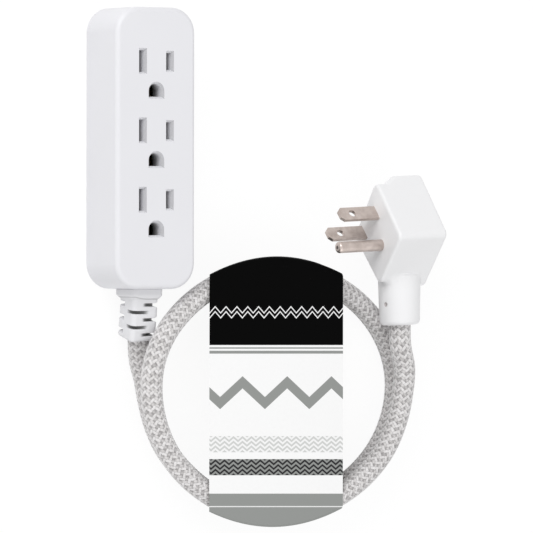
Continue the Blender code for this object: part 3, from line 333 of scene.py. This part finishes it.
# Neck: its places along the cord, its size, its axis from the blade line, and its slanting start.
NECK_FROM, NECK_REACH, NECK_RADIUS, NECK_TAPER = 0.0220, 0.0427, 0.0089, 0.0005
NECK_BEHIND, NECK_ABOVE, NECK_SIDE_BEND, NECK_RISE = 0.0126, 0.0012, 0.0008, 0.00055
SHOULDER_SLOPE, SHOULDER_TOP = 0.6, 0.0087
MARK_AT, MARK_LEAN, MARK_OUT, MARK_RADIUS = 0.0339, math.radians(14.4), 0.0085, 0.0008


def skin(name, distance, low, high, cell):
    """Closed surface where a distance function is zero. Every grid cell that the surface crosses
    gets one point, the mean of the crossings on its edges; the four cells round a crossed edge
    make a face; and the points then move onto the surface along its slope."""
    low = np.array(low, float)
    axes = [np.arange(a, b + cell, cell) for a, b in zip(low, high)]
    value = distance(np.stack(np.meshgrid(*axes, indexing="ij"), -1))
    inside = value < 0
    corners = np.array([(i, j, k) for i in (0, 1) for j in (0, 1) for k in (0, 1)])
    size = [n - 1 for n in value.shape]
    count = sum(
        inside[i : i + size[0], j : j + size[1], k : k + size[2]].astype(int)
        for i, j, k in corners
    )
    crossed = np.argwhere((count > 0) & (count < 8))
    number = np.full(count.shape, -1)
    number[tuple(crossed.T)] = np.arange(len(crossed))
    total, hits = np.zeros((len(crossed), 3)), np.zeros((len(crossed), 1))
    for start in corners:
        for step in np.eye(3, dtype=int)[start == 0]:
            one, other = (value[tuple((crossed + c).T)] for c in (start, start + step))
            hit = (one < 0) != (other < 0)
            share = np.where(hit, one / np.where(hit, one - other, 1.0), 0.0)
            total += np.where(hit[:, None], start + share[:, None] * step, 0.0)
            hits += hit[:, None]
    points = low + (crossed + total / hits) * cell
    faces = []
    for axis in range(3):
        changed = inside != np.roll(inside, -1, axis)
        edges = np.argwhere(changed & (np.indices(value.shape)[axis] < size[axis]))
        u, v = (np.eye(3, dtype=int)[(axis + turn) % 3] for turn in (1, 2))
        quads = np.stack([number[tuple((edges - c).T)] for c in (0 * u, u, u + v, v)], -1)
        outwards = inside[tuple(edges.T)]
        faces.append(np.where(outwards[:, None], quads, quads[:, ::-1]))
    nudge, least_slope, passes = 0.02 * cell, 0.1, 4
    for _ in range(passes):
        slope = np.stack(
            [distance(points + s) - distance(points - s) for s in nudge * np.eye(3)], -1
        ) / (2 * nudge)
        steepness = np.maximum((slope**2).sum(-1, keepdims=True), least_slope)
        move = distance(points)[:, None] * slope / steepness
        points -= np.clip(move, -0.5 * cell, 0.5 * cell)
    mesh = bpy.data.meshes.new(name)
    mesh.from_pydata(points, [], np.vstack(faces))
    mesh.shade_smooth()
    return mesh


def smoothstep(share):
    """Eases from 0 to 1: three times the square of the share less twice its cube."""
    share = np.clip(share, 0, 1)
    return share * share * (3 - 2 * share)


def soft_join(one, other, width):
    """The nearer of two solids, with their meeting line filled by a fillet about that wide."""
    near = np.maximum(width - np.abs(one - other), 0) / width
    return np.minimum(one, other) - near**2 * width / 4


def rounded_both(one, other, radius):
    """Where both distances are negative, with the edge between them rounded."""
    one, other = one + radius, other + radius
    outside = np.hypot(np.maximum(one, 0), np.maximum(other, 0))
    return np.minimum(np.maximum(one, other), 0) + outside - radius


def lozenge(x, y, half_x, half_y, corner):
    """Distance to a lozenge of those half diagonals with rounded corners: a smaller sharp one,
    measured to its nearest side, grown by the corner radius."""
    shrink = 1 - corner * np.hypot(half_x, half_y) / (half_x * half_y)
    bx, by = half_x * shrink, half_y * shrink
    x, y = np.abs(x), np.abs(y)
    place = np.clip(((bx - 2 * x) * bx - (by - 2 * y) * by) / (bx**2 + by**2), -1, 1)
    reach = np.hypot(x - 0.5 * bx * (1 - place), y - 0.5 * by * (1 + place))
    return reach * np.sign(x * by + y * bx - bx * by) - corner


def plug_distance(points):
    """Lozenge prism, shorter from its ridge towards the cord than the other way, whose half
    diagonals grow over a step behind the face. The neck is a tapered round bar whose axis eases
    aside and upwards; it starts on a slanting plane inside the body, stands a little proud at its
    shoulder, where a fillet fills the corner on the face's side, and loses a small ball, the mark
    that the mould's pin leaves."""
    local = points - PLUG_FACE
    behind, cordwards, above = local @ PLUG_BACK, local @ PLUG_CORDWARDS, local[..., 2]
    half = FACE_HALF + STEP_OUT * np.clip((behind - STEP_FROM) / STEP_LONG, 0, 1)
    half_height = PLUG_SQUASH * half
    along = cordwards - RIDGE_AT
    along = along * np.where(along > 0, FULL_HALF / HALF_CORDWARDS, FULL_HALF / HALF_OTHER_WAY)
    across = lozenge(along, above - PLUG_TOP + half_height, half, half_height, PLUG_CORNER)
    deep = np.abs(behind - PLUG_DEPTH / 2) - PLUG_DEPTH / 2
    body = rounded_both(across, deep, PLUG_EDGE)

    taper_over, bend_over, end_edge, shoulder_edge = 0.0188, 0.020, 0.0019, 0.0007
    eased = smoothstep((cordwards - NECK_FROM) / bend_over)
    radius = NECK_RADIUS - NECK_TAPER * np.clip((cordwards - NECK_FROM) / taper_over, 0, 1)
    side = behind - NECK_BEHIND + NECK_SIDE_BEND * eased
    height = above - NECK_ABOVE - NECK_RISE * eased
    start = NECK_FROM - SHOULDER_SLOPE * (SHOULDER_TOP - height)
    shoulder = (start - cordwards) / math.hypot(1, SHOULDER_SLOPE)
    neck = rounded_both(np.hypot(side, height) - radius, cordwards - NECK_REACH, end_edge)
    neck = rounded_both(neck, shoulder, shoulder_edge)
    from_mark = np.sqrt(
        (side + MARK_OUT * math.cos(MARK_LEAN)) ** 2
        + (height - MARK_OUT * math.sin(MARK_LEAN)) ** 2
        + (cordwards - MARK_AT) ** 2
    )
    narrow, wider, wide_from, wide_over = 0.0006, 0.0022, 0.0035, 0.0045
    fillet = narrow + wider * smoothstep((-side - wide_from) / wide_over)
    return np.maximum(soft_join(body, neck, fillet), MARK_RADIUS - from_mark)


def plastic_finish(name, colour, roughness):
    """Moulded plastic: very slightly mottled, with the fine even grain of a spark-eroded mould."""
    mottle, grain_depth = 0.965, 0.00002
    finish, tree, shader = new_finish(name, Roughness=roughness, Specular_IOR_Level=0.45)
    place = put(tree, "TexCoord").outputs["Object"]
    cloud = noise(tree, place, 35.0, 2.0)
    darker = tuple(mottle * c for c in colour)
    tree.links.new(blend_colour(tree, cloud, darker, colour), shader.inputs["Base Color"])
    fine = noise(tree, place, 2600.0, 3.0, 0.6)
    sheen = put(tree, "MapRange", (0, fine), (3, roughness - 0.05), (4, roughness + 0.07))
    tree.links.new(sheen.outputs[0], shader.inputs["Roughness"])
    bump = put(tree, "Bump", ("Strength", 0.35), ("Distance", grain_depth), ("Height", fine))
    tree.links.new(bump.outputs[0], shader.inputs["Normal"])
    return finish


def paint_shade(finish, share, shade_colour):
    """Paints shade into a finish: blends its colour towards a shade colour by a share from 0 to 1,
    which is how far down an opening, a slot or a small mark the surface lies."""
    tree = finish.node_tree
    shader = tree.nodes["Principled BSDF"]
    plain = shader.inputs["Base Color"].links[0].from_socket
    tree.links.new(blend_colour(tree, share, plain, shade_colour), shader.inputs["Base Color"])


def near_point(tree, point, far, near):
    """1 within the near distance of a point, falling to 0 at the far one."""
    place = put(tree, "TexCoord").outputs["Object"]
    away = put(tree, "VectorMath", (0, place), (1, point), operation="DISTANCE").outputs["Value"]
    return put(tree, "MapRange", (0, away), (1, far), (2, near)).outputs[0]


plug_white = plastic_finish("plug_white", (0.87, 0.87, 0.88), 0.36)
# Painted shade: the moulding's colour darkens inside the small pit that the mould's pin leaves.
mould_mark = PLUG_FACE + 0.0039 * PLUG_BACK + MARK_AT * PLUG_CORDWARDS + (0.0, 0.0, 0.0037)
painted_pit_shade = near_point(plug_white.node_tree, mould_mark, 0.0011, 0.0006)
paint_shade(plug_white, painted_pit_shade, (0.34, 0.29, 0.28))
plug_mesh = skin(
    "plug_moulding", plug_distance, (0.102, -0.081, -0.004), (0.136, 0.0, 0.046), 0.0004
)
plug_moulding = add_piece("plug_moulding", plug_mesh, plug_white, ["plug_body"])


# Blades and ground pin: brass stampings and a turned pin, plated with dull nickel that has gone
# cloudy. The core that holds them and the leads behind them stay inside the moulding.
SHARP_ANGLE = math.radians(35)


def refined(node):
    """A copy of a CAD node's mesh with its points merged, the lines across its flat faces taken
    out, and the shading broken at its sharp edges."""
    same_point, same_plane = 0.000002, math.radians(0.5)
    shape = bmesh.new()
    shape.from_mesh(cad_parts[node].data)
    bmesh.ops.remove_doubles(shape, verts=shape.verts, dist=same_point)
    bmesh.ops.dissolve_limit(
        shape, angle_limit=same_plane, verts=shape.verts, edges=shape.edges
    )
    mesh = bpy.data.meshes.new(node)
    shape.to_mesh(mesh)
    shape.free()
    mesh.shade_smooth()
    mesh.set_sharp_from_angle(angle=SHARP_ANGLE)
    return mesh


def add_refined(name, node, edge, finish):
    """Adds a node's finer copy, with its sharp edges rounded over a width of edge and its flat
    faces kept flat in the shading."""
    piece = add_piece(name, refined(node), finish, [node])
    bevel = piece.modifiers.new("edges", "BEVEL")
    bevel.width = edge
    bevel.segments = 3
    bevel.limit_method = "ANGLE"
    bevel.angle_limit = SHARP_ANGLE
    bevel.use_clamp_overlap = True
    piece.modifiers.new("flats", "WEIGHTED_NORMAL").keep_sharp = True
    return piece


def metal_finish(name, colour, shadow, roughness, scratch_along):
    """Metal with fine lines, drawn out along the axis that has the small scale, which change its
    gloss, and with cloudy tarnish at random between the colour and a darker tarnished one."""
    tarnish_from, tarnish_to, line_depth = 0.35, 0.65, 0.00003
    finish, tree, shader = new_finish(name, Metallic=0.88)
    place = put(tree, "TexCoord").outputs["Object"]
    drawn = put(tree, "Mapping", ("Vector", place), ("Scale", scratch_along)).outputs[0]
    lines = noise(tree, drawn, 900.0, 3.0, 0.65)
    cloud = noise(tree, place, 260.0, 4.0, 0.6)
    share = put(tree, "MapRange", (0, cloud), (1, tarnish_from), (2, tarnish_to)).outputs[0]
    tone = blend_colour(tree, share, shadow, colour)
    tree.links.new(tone, shader.inputs["Base Color"])
    rough = put(tree, "MapRange", (0, lines), (3, roughness - 0.1), (4, roughness + 0.14))
    tree.links.new(rough.outputs[0], shader.inputs["Roughness"])
    bump = put(tree, "Bump", ("Strength", 0.3), ("Distance", line_depth), ("Height", lines))
    tree.links.new(bump.outputs[0], shader.inputs["Normal"])
    return finish


worn_nickel, drawn_lengthwise = (0.48, 0.41, 0.375), (0.15, 1.0, 1.0)
nickel = metal_finish("nickel_plate", (0.62, 0.545, 0.505), worn_nickel, 0.40, drawn_lengthwise)
nickel_pin = metal_finish("nickel_pin", (0.62, 0.54, 0.50), worn_nickel, 0.33, drawn_lengthwise)
# Painted shade: a dark dot at the ground pin's tip stands in for the shade in the hollow at its
# end.
pin_tip = PLUG_FACE - 0.0214 * PLUG_BACK + 0.00912 * PLUG_CORDWARDS + (0.0, 0.0, 0.00765)
painted_tip_shade = near_point(nickel_pin.node_tree, pin_tip, 0.0009, 0.0006)
paint_shade(nickel_pin, painted_tip_shade, (0.10, 0.085, 0.08))
plug_metal = [
    add_refined("neutral_blade", "plug_neutral_blade", 0.00012, nickel),
    add_refined("hot_blade", "plug_hot_blade", 0.00012, nickel),
    add_refined("ground_pin", "plug_ground_pin", 0.00010, nickel_pin),
]


# Outlet strip: a white thermoplastic shell with three outlet faces, closed from behind by a plate
# with four screws. Inside, a nylon carrier holds three brass bars and their contacts.
OUTLETS_HALF_WIDTH, OUTLETS_HALF_LENGTH = 0.012, 0.050


def painted_opening_shade(tree):
    """How much painted shade the openings get, from 0 to 1: it grows with the depth below the
    outlet faces, and the rims that face left get a little painted shade from the top on. It is 0
    beyond the outlets."""
    throat_top, throat_foot, rim_foot, rim_top = 0.0215, 0.0175, 0.0222, 0.0226
    throat_dark, rim_dark = 0.8, 0.42
    split = put(tree, "SeparateXYZ", (0, put(tree, "TexCoord").outputs["Object"])).outputs
    normal = put(tree, "SeparateXYZ", (0, put(tree, "NewGeometry").outputs["Normal"])).outputs
    throat = put(
        tree, "MapRange", (0, split[2]), (1, throat_top), (2, throat_foot), (4, throat_dark)
    ).outputs[0]
    left = calc(tree, "MAXIMUM", calc(tree, "MULTIPLY", normal[0], -rim_dark), 0.0)
    rim = put(tree, "MapRange", (0, split[2]), (1, rim_foot), (2, rim_top)).outputs[0]
    dark = calc(tree, "MAXIMUM", throat, calc(tree, "MULTIPLY", left, rim))
    across = calc(tree, "LESS_THAN", calc(tree, "ABSOLUTE", split[0]), OUTLETS_HALF_WIDTH)
    along = calc(tree, "LESS_THAN", calc(tree, "ABSOLUTE", split[1]), OUTLETS_HALF_LENGTH)
    return calc(tree, "MULTIPLY", dark, calc(tree, "MULTIPLY", across, along))


def give_finish(nodes, finish):
    """Gives CAD nodes that keep their own mesh a finish."""
    for node in nodes:
        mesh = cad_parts[node].data
        mesh.materials.clear()
        mesh.materials.append(finish)


white_plastic = plastic_finish("white_housing", (0.785, 0.785, 0.815), 0.38)
# Painted shade: the housing's colour darkens down the outlets' openings and on their left-facing
# rims.
paint_shade(white_plastic, painted_opening_shade(white_plastic.node_tree), (0.10, 0.10, 0.10))
add_refined("front_shell", "front_cover", 0.00018, white_plastic)
add_refined("back_plate", "back_cover", 0.00015, white_plastic)
brass = metal_finish("brass_sheet", (0.74, 0.56, 0.28), (0.60, 0.42, 0.18), 0.34, (1.0, 0.15, 1.0))
zinc = metal_finish("zinc_steel", (0.66, 0.67, 0.68), (0.50, 0.51, 0.52), 0.36, (1.0, 1.0, 1.0))
nylon = plastic_finish("natural_nylon", (0.70, 0.66, 0.56), 0.50)
white_pvc = plastic_finish("white_lead", (0.75, 0.75, 0.73), 0.45)
black_pvc = plastic_finish("black_lead", (0.020, 0.020, 0.021), 0.45)
green_pvc = plastic_finish("green_lead", (0.02, 0.25, 0.06), 0.45)
bars = ["neutral_bar", "hot_bar", "ground_bar"]
contacts = [f"{wire}_contact_{n}" for wire in ("neutral", "hot", "ground") for n in (1, 2, 3)]
give_finish(bars + contacts, brass)
give_finish([f"housing_screw_{n}" for n in (1, 2, 3, 4)], zinc)
give_finish(["contact_carrier", "plug_core"], nylon)
give_finish(["neutral_lead", "plug_neutral_lead"], white_pvc)
give_finish(["hot_lead", "plug_hot_lead"], black_pvc)
give_finish(["ground_lead", "plug_ground_lead"], green_pvc)


# Strain relief: one soft PVC moulding clipped into the end wall. A square collar lies against the
# wall, and the body behind it is slotted from alternate corners, so that it bends with the cord.
RELIEF_WALL_Y, RELIEF_SIDE, RELIEF_HEIGHT = -0.0568, -0.0003, 0.0111
RELIEF_LENGTH, RELIEF_HALF, RELIEF_DIP, RELIEF_SIDE_BEND = 0.0197, 0.0060, 0.0030, 0.0004
COLLAR_HALF, COLLAR_LONG, COLLAR_OFF_WALL = 0.0076, 0.0037, 0.00004
SLOTS, SLOT_FROM, SLOT_PITCH, SLOT_HALF = 5, 0.00595, 0.0028, 0.0006
CUT_ALONG, CUT_DOWN = 0.0075, 0.0050  # what a slot takes of the top and of the upright side
FLARE, FLARE_FROM = 0.28, 0.0042


def rounded_box(x, y, half, corner):
    """Distance to a square of that half side with rounded corners."""
    x, y = np.abs(x) - half + corner, np.abs(y) - half + corner
    return np.minimum(np.maximum(x, y), 0) + np.hypot(np.maximum(x, 0), np.maximum(y, 0)) - corner


def relief_distance(points, slotted=True):
    """Square bar along an axis that bends down and a little sideways; the collar is a wider,
    shorter one; each slot is a thin slab beyond a slanting line across two opposite corners, with
    a round bottom edge, and every other one flares where it leaves the sides. The reach along the
    axis is found in two steps, each moving it by what the place is off square."""
    reach = RELIEF_WALL_Y - points[..., 1]
    for _ in range(2):
        share = np.maximum(reach, 0) / RELIEF_LENGTH
        side = points[..., 0] - RELIEF_SIDE - RELIEF_SIDE_BEND * share**4
        rise = points[..., 2] - RELIEF_HEIGHT + RELIEF_DIP * share**2
        side_slope = 4 * RELIEF_SIDE_BEND * share**3 / RELIEF_LENGTH
        dip_slope = 2 * RELIEF_DIP * share / RELIEF_LENGTH
        behind = RELIEF_WALL_Y - reach - points[..., 1]
        off_square = behind + side_slope * side - dip_slope * rise
        reach = reach + off_square / (1 + side_slope**2 + dip_slope**2)
    rise = rise * np.hypot(1, dip_slope)

    bar_corner, bar_from, bar_edge, join = 0.0020, 0.0003, 0.0010, 0.0006
    bar = rounded_box(side, rise, RELIEF_HALF, bar_corner)
    body = rounded_both(bar, np.maximum(reach - RELIEF_LENGTH, bar_from - reach), bar_edge)
    collar_corner, collar_edge = 0.0030, 0.0005
    chamfer, chamfer_from, chamfer_over = 0.0007, 0.0022, 0.0015
    collar_half = COLLAR_HALF - chamfer * smoothstep((reach - chamfer_from) / chamfer_over)
    collar = rounded_box(side, rise, collar_half, collar_corner)
    collar = rounded_both(collar, reach - COLLAR_LONG, collar_edge)
    solid = soft_join(body, np.maximum(collar, COLLAR_OFF_WALL - reach), join)

    slot_edge, lip = 0.00025, 0.0002
    slant = np.hypot(CUT_DOWN, CUT_ALONG)
    edge = (CUT_DOWN * (RELIEF_HALF - CUT_ALONG) + CUT_ALONG * RELIEF_HALF) / slant
    for number in range(SLOTS if slotted else 0):
        hand = 1 if number % 2 == 0 else -1
        beyond = (CUT_DOWN * hand * side + CUT_ALONG * rise) / slant
        flare = FLARE * np.maximum(np.abs(side) - FLARE_FROM, 0) if hand == 1 else 0.0
        slab = np.abs(reach - (SLOT_FROM + SLOT_PITCH * number)) - SLOT_HALF - flare
        slot = rounded_both(edge - np.abs(beyond), slab, slot_edge)
        solid = -soft_join(-solid, slot, lip)
    return solid


def painted_relief_shade(mesh):
    """Painted shade of the relief, per point: how far each point lies below the unslotted bar, from
    0 to 1 at the full depth, and only above the lower corners. A thin painted shadow runs along the
    mould's parting line, which bows a little towards the wall on the left; it has a share of its
    own that falls to 0 beside it."""
    full_depth, dark_from, dark_over = 0.0012, 0.0070, 0.0030
    parting_at, parting_bow, parting_half, parting_shade = 0.0041, 0.0008, 0.0003, 0.6
    spots = np.empty(3 * len(mesh.vertices), np.float32)
    mesh.vertices.foreach_get("co", spots)
    spots = spots.reshape(-1, 3).astype(float)
    sunk = np.clip(-relief_distance(spots, False) / full_depth, 0, 1)
    sunk *= smoothstep((spots[:, 2] - dark_from) / dark_over)
    parting = parting_at - parting_bow * np.clip(-spots[:, 0] / RELIEF_HALF, 0, 1) ** 2
    from_parting = np.abs(RELIEF_WALL_Y - spots[:, 1] - parting)
    return np.maximum(sunk, parting_shade * np.clip(1 - from_parting / parting_half, 0, 1))


def mark_points(mesh, name, values):
    """Stores one number per point of a mesh, for its material to read by name."""
    marks = mesh.attributes.new(name, "FLOAT", "POINT").data
    marks.foreach_set("value", values.astype(np.float32))


relief_white = plastic_finish("soft_white_pvc", (0.78, 0.78, 0.80), 0.46)
relief_mesh = skin(
    "relief_moulding", relief_distance, (-0.010, -0.084, -0.002), (0.012, -0.055, 0.022), 0.00025
)
# Painted shade: the relief's colour darkens down its slots and along a thin line at the mould's
# parting line.
mark_points(relief_mesh, "sunk", painted_relief_shade(relief_mesh))
shade_in_relief = put(relief_white.node_tree, "Attribute", attribute_name="sunk").outputs["Fac"]
paint_shade(relief_white, shade_in_relief, (0.24, 0.24, 0.24))
add_piece("relief_moulding", relief_mesh, relief_white, ["cord_strain_relief"])


# Card sleeve: a printed band of coated card, folded flat round the coil and glued at the back. Its
# two folds follow the coil in a curve. The print is bands, rules and zigzags of black and grey.
CARD = 0.00045
SLEEVE_LEFT, SLEEVE_RIGHT = 0.0275, 0.092
SLEEVE_NEAR, SLEEVE_FAR = -0.1544, -0.0439
SLEEVE_TOP, SLEEVE_LEAN, FOLD_RADIUS = 0.02025, 0.628, 0.0012
FAR_CURVE, NEAR_CURVE = -0.0072, 0.0070  # how far the folds' ends come in towards the middle


def sleeve_loop(share, inset):
    """One closed loop of the band, at a share of its width from the left: a rounded rectangle
    upright in the sleeve's length, whose folds are moved in by a parabola of the place across. The
    left edge leans out with height and the right one is upright, and the loops between share it."""
    corner = np.radians(np.linspace(0, 90, 9))
    radius = FOLD_RADIUS - inset
    far, near = SLEEVE_FAR - inset - radius, SLEEVE_NEAR + inset + radius
    top, low = SLEEVE_TOP - inset - radius, inset + radius
    cosine, sine = radius * np.cos(corner), radius * np.sin(corner)
    y = np.concatenate([far + cosine, near - sine, near - cosine, far + sine])
    z = np.concatenate([top + sine, top + cosine, low - sine, low - cosine])
    lean = SLEEVE_LEAN * (SLEEVE_TOP - z)
    left = SLEEVE_LEFT + lean
    x = left + (SLEEVE_RIGHT - left) * share
    middle = (SLEEVE_LEFT + SLEEVE_RIGHT) / 2
    off = 2 * (x - lean - middle) / (SLEEVE_RIGHT - SLEEVE_LEFT)
    fall = np.where(y > (SLEEVE_FAR + SLEEVE_NEAR) / 2, FAR_CURVE, NEAR_CURVE)
    return np.stack([x, y + fall * off**2, z], -1)


def step(tree, low, value, width=0.00012):
    """Rises from 0 to 1 where the value passes low, over a hair's width."""
    return put(
        tree, "MapRange", (0, value), (1, low - width / 2), (2, low + width / 2)
    ).outputs[0]


def card_finish():
    """Coated card, printed in places counted along the band so that they look level. From the far
    end: black with two thin zigzag lines, a thin and a thicker grey rule, then white with one bold
    zigzag and two straps of fine zigzags like a braid's rows, and a grey foot with a white rule.
    The inside is bare board. A zigzag swings to and fro along the band once in each period."""
    black, grey, off_white = (0.001, 0.001, 0.001), (0.30, 0.31, 0.30), (0.90, 0.90, 0.90)
    black_from, thin_lines, line_width = -0.0800, (-0.0672, -0.0692), 0.0006
    rules, bold = ((-0.0815, -0.0809), (-0.0835, -0.0823)), (-0.1062, -0.1012)
    straps = (
        (-0.1238, -0.1172, (0.62, 0.63, 0.62), off_white),
        (-0.1332, -0.1266, (0.030, 0.030, 0.032), grey),
    )
    foot_from, foot_rule, middle = -0.1407, (-0.1462, -0.1458), 0.0596
    finish, tree, shader = new_finish("printed_card", Roughness=0.5, Specular_IOR_Level=0.03)
    place = put(tree, "TexCoord").outputs["Object"]
    split = put(tree, "SeparateXYZ", (0, place)).outputs
    across = calc(tree, "SUBTRACT", split[0], middle)
    slant = calc(tree, "MULTIPLY_ADD", split[1], -0.2126, -0.0067)
    along = calc(tree, "MULTIPLY_ADD", across, slant, split[1])

    def below(high, value):
        return calc(tree, "SUBTRACT", 1.0, step(tree, high, value))

    def between(low, high, value):
        return calc(tree, "MULTIPLY", step(tree, low, value), below(high, value))

    def zigzag(period, swing):
        wave = calc(tree, "PINGPONG", calc(tree, "ADD", across, 0.5), period / 2)
        return calc(tree, "MULTIPLY_ADD", wave, -2 * swing / period, along)

    def printed(colour, share, ink):
        return blend_colour(tree, share, colour, ink)

    fibre = noise(tree, place, 700.0, 4.0, 0.6)
    colour = blend_colour(tree, fibre, (0.91, 0.91, 0.91), (0.95, 0.95, 0.95))
    colour = printed(colour, step(tree, black_from, along), black)
    for low, high in rules:
        colour = printed(colour, between(low, high, along), grey)
    fine = zigzag(0.0052, 0.0026)
    for low in thin_lines:
        colour = printed(colour, between(low, low + line_width, fine), off_white)
    colour = printed(colour, between(*bold, zigzag(0.0215, 0.0085)), grey)
    row_height, lift = 0.0019, 200.0  # the lift keeps the count of the rows above zero
    rows = calc(tree, "MULTIPLY", zigzag(0.0043, 0.0016), 1 / row_height)
    rows = calc(tree, "FRACT", calc(tree, "ADD", rows, lift))
    rows = put(tree, "MapRange", (0, rows), (1, 0.46), (2, 0.54)).outputs[0]
    for low, high, ground, ink in straps:
        colour = printed(colour, between(low, high, along), printed(ground, rows, ink))
    colour = printed(colour, below(foot_from, along), grey)
    colour = printed(colour, between(*foot_rule, along), (0.85, 0.85, 0.85))
    bare = put(tree, "Attribute", attribute_name="unprinted").outputs["Fac"]
    board = blend_colour(tree, fibre, (0.66, 0.65, 0.63), (0.78, 0.77, 0.75))
    colour = printed(colour, step(tree, 0.5, bare, 0.1), board)
    tree.links.new(colour, shader.inputs["Base Color"])
    bump = put(tree, "Bump", ("Strength", 0.2), ("Distance", 0.00002), ("Height", fibre))
    tree.links.new(bump.outputs[0], shader.inputs["Normal"])
    return finish


def make_sleeve():
    """The outer loops from left to right and the inner ones back again, joined into one skin.
    The points of the inner ones are marked as unprinted."""
    stations, cut_angle = np.linspace(0, 1, 49), math.radians(40)
    outer = [sleeve_loop(share, 0.0) for share in stations]
    inner = [sleeve_loop(share, CARD) for share in stations[::-1]]
    mesh = grid_mesh("sleeve", np.array(outer + inner), closed=(True, True))
    close_skin(mesh)
    mark_points(mesh, "unprinted", np.repeat((0.0, 1.0), len(mesh.vertices) // 2))
    mesh.set_sharp_from_angle(angle=cut_angle)
    return add_piece("sleeve", mesh, card_finish(), ["card_sleeve"])


sleeve = make_sleeve()
on_cord = [plug_moulding, *plug_metal, sleeve]
in_plug = ("plug_core", "plug_neutral_lead", "plug_hot_lead", "plug_ground_lead")
on_cord += [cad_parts[name] for name in in_plug]


# Table and studio: a white table that shows white to the camera and keeps a faint shadow, a pale
# room, and large soft lamps.
def seen(tree):
    """1 for rays that show what is behind: from the camera, a mirror or glass."""
    rays = put(tree, "LightPath").outputs
    shows = rays["Is Camera Ray"]
    for kind in ("Is Glossy Ray", "Is Transmission Ray"):
        shows = calc(tree, "MAXIMUM", shows, rays[kind])
    return shows


table_top = bpy.data.objects.new("table_top", bpy.data.meshes.new("table_top"))
half_table = 8.0
corners = [(x * half_table, y * half_table, 0) for x, y in ((-1, -1), (1, -1), (1, 1), (-1, 1))]
table_top.data.from_pydata(corners, [], [(0, 1, 2, 3)])
bpy.context.scene.collection.objects.link(table_top)
table_white = bpy.data.materials.new("table_white")
table_white.use_nodes = True
tree = table_white.node_tree
tree.nodes.clear()
plain = put(tree, "BsdfDiffuse", ("Color", (0.80, 0.80, 0.80, 1.0)))
pale = put(tree, "BsdfDiffuse", ("Color", (0.09, 0.09, 0.09, 1.0)))
glow = put(tree, "Emission", ("Color", (1.0, 1.0, 1.0, 1.0)), ("Strength", 0.92))
white = put(tree, "AddShader", (0, pale.outputs[0]), (1, glow.outputs[0]))
table_mix = put(tree, "MixShader", (0, seen(tree)), (1, plain.outputs[0]), (2, white.outputs[0]))
put(tree, "OutputMaterial", (0, table_mix.outputs[0]))
table_top.data.materials.append(table_white)

world = bpy.data.worlds.new("studio")
bpy.context.scene.world = world
world.use_nodes = True
tree = world.node_tree
tree.nodes.clear()
room = put(tree, "Background", ("Color", (1.0, 1.0, 1.0, 1.0)), ("Strength", 0.66))
backdrop = put(tree, "Background", ("Color", (1.0, 1.0, 1.0, 1.0)), ("Strength", 1.0))
world_mix = put(tree, "MixShader", (0, seen(tree)), (1, room.outputs[0]), (2, backdrop.outputs[0]))
put(tree, "OutputWorld", (0, world_mix.outputs[0]))


OBJECT_MIDDLE = Vector((0.05, -0.05, 0.0))


def add_lamp(name, position, size, power):
    """A round lamp of that size across, aimed at the middle of the object."""
    lamp = bpy.data.objects.new(name, bpy.data.lights.new(name, "AREA"))
    lamp.data.shape = "DISK"
    lamp.data.size = size
    lamp.data.energy = power
    lamp.location = position
    aim = OBJECT_MIDDLE - lamp.location
    lamp.rotation_mode = "QUATERNION"
    lamp.rotation_quaternion = aim.to_track_quat("-Z", "Y")
    bpy.context.scene.collection.objects.link(lamp)


add_lamp("key", (-0.95, 0.95, 1.0), 1.1, 13.0)
add_lamp("fill", (0.1, -1.3, 1.1), 1.4, 6.5)
bpy.context.scene.view_settings.view_transform = "Standard"
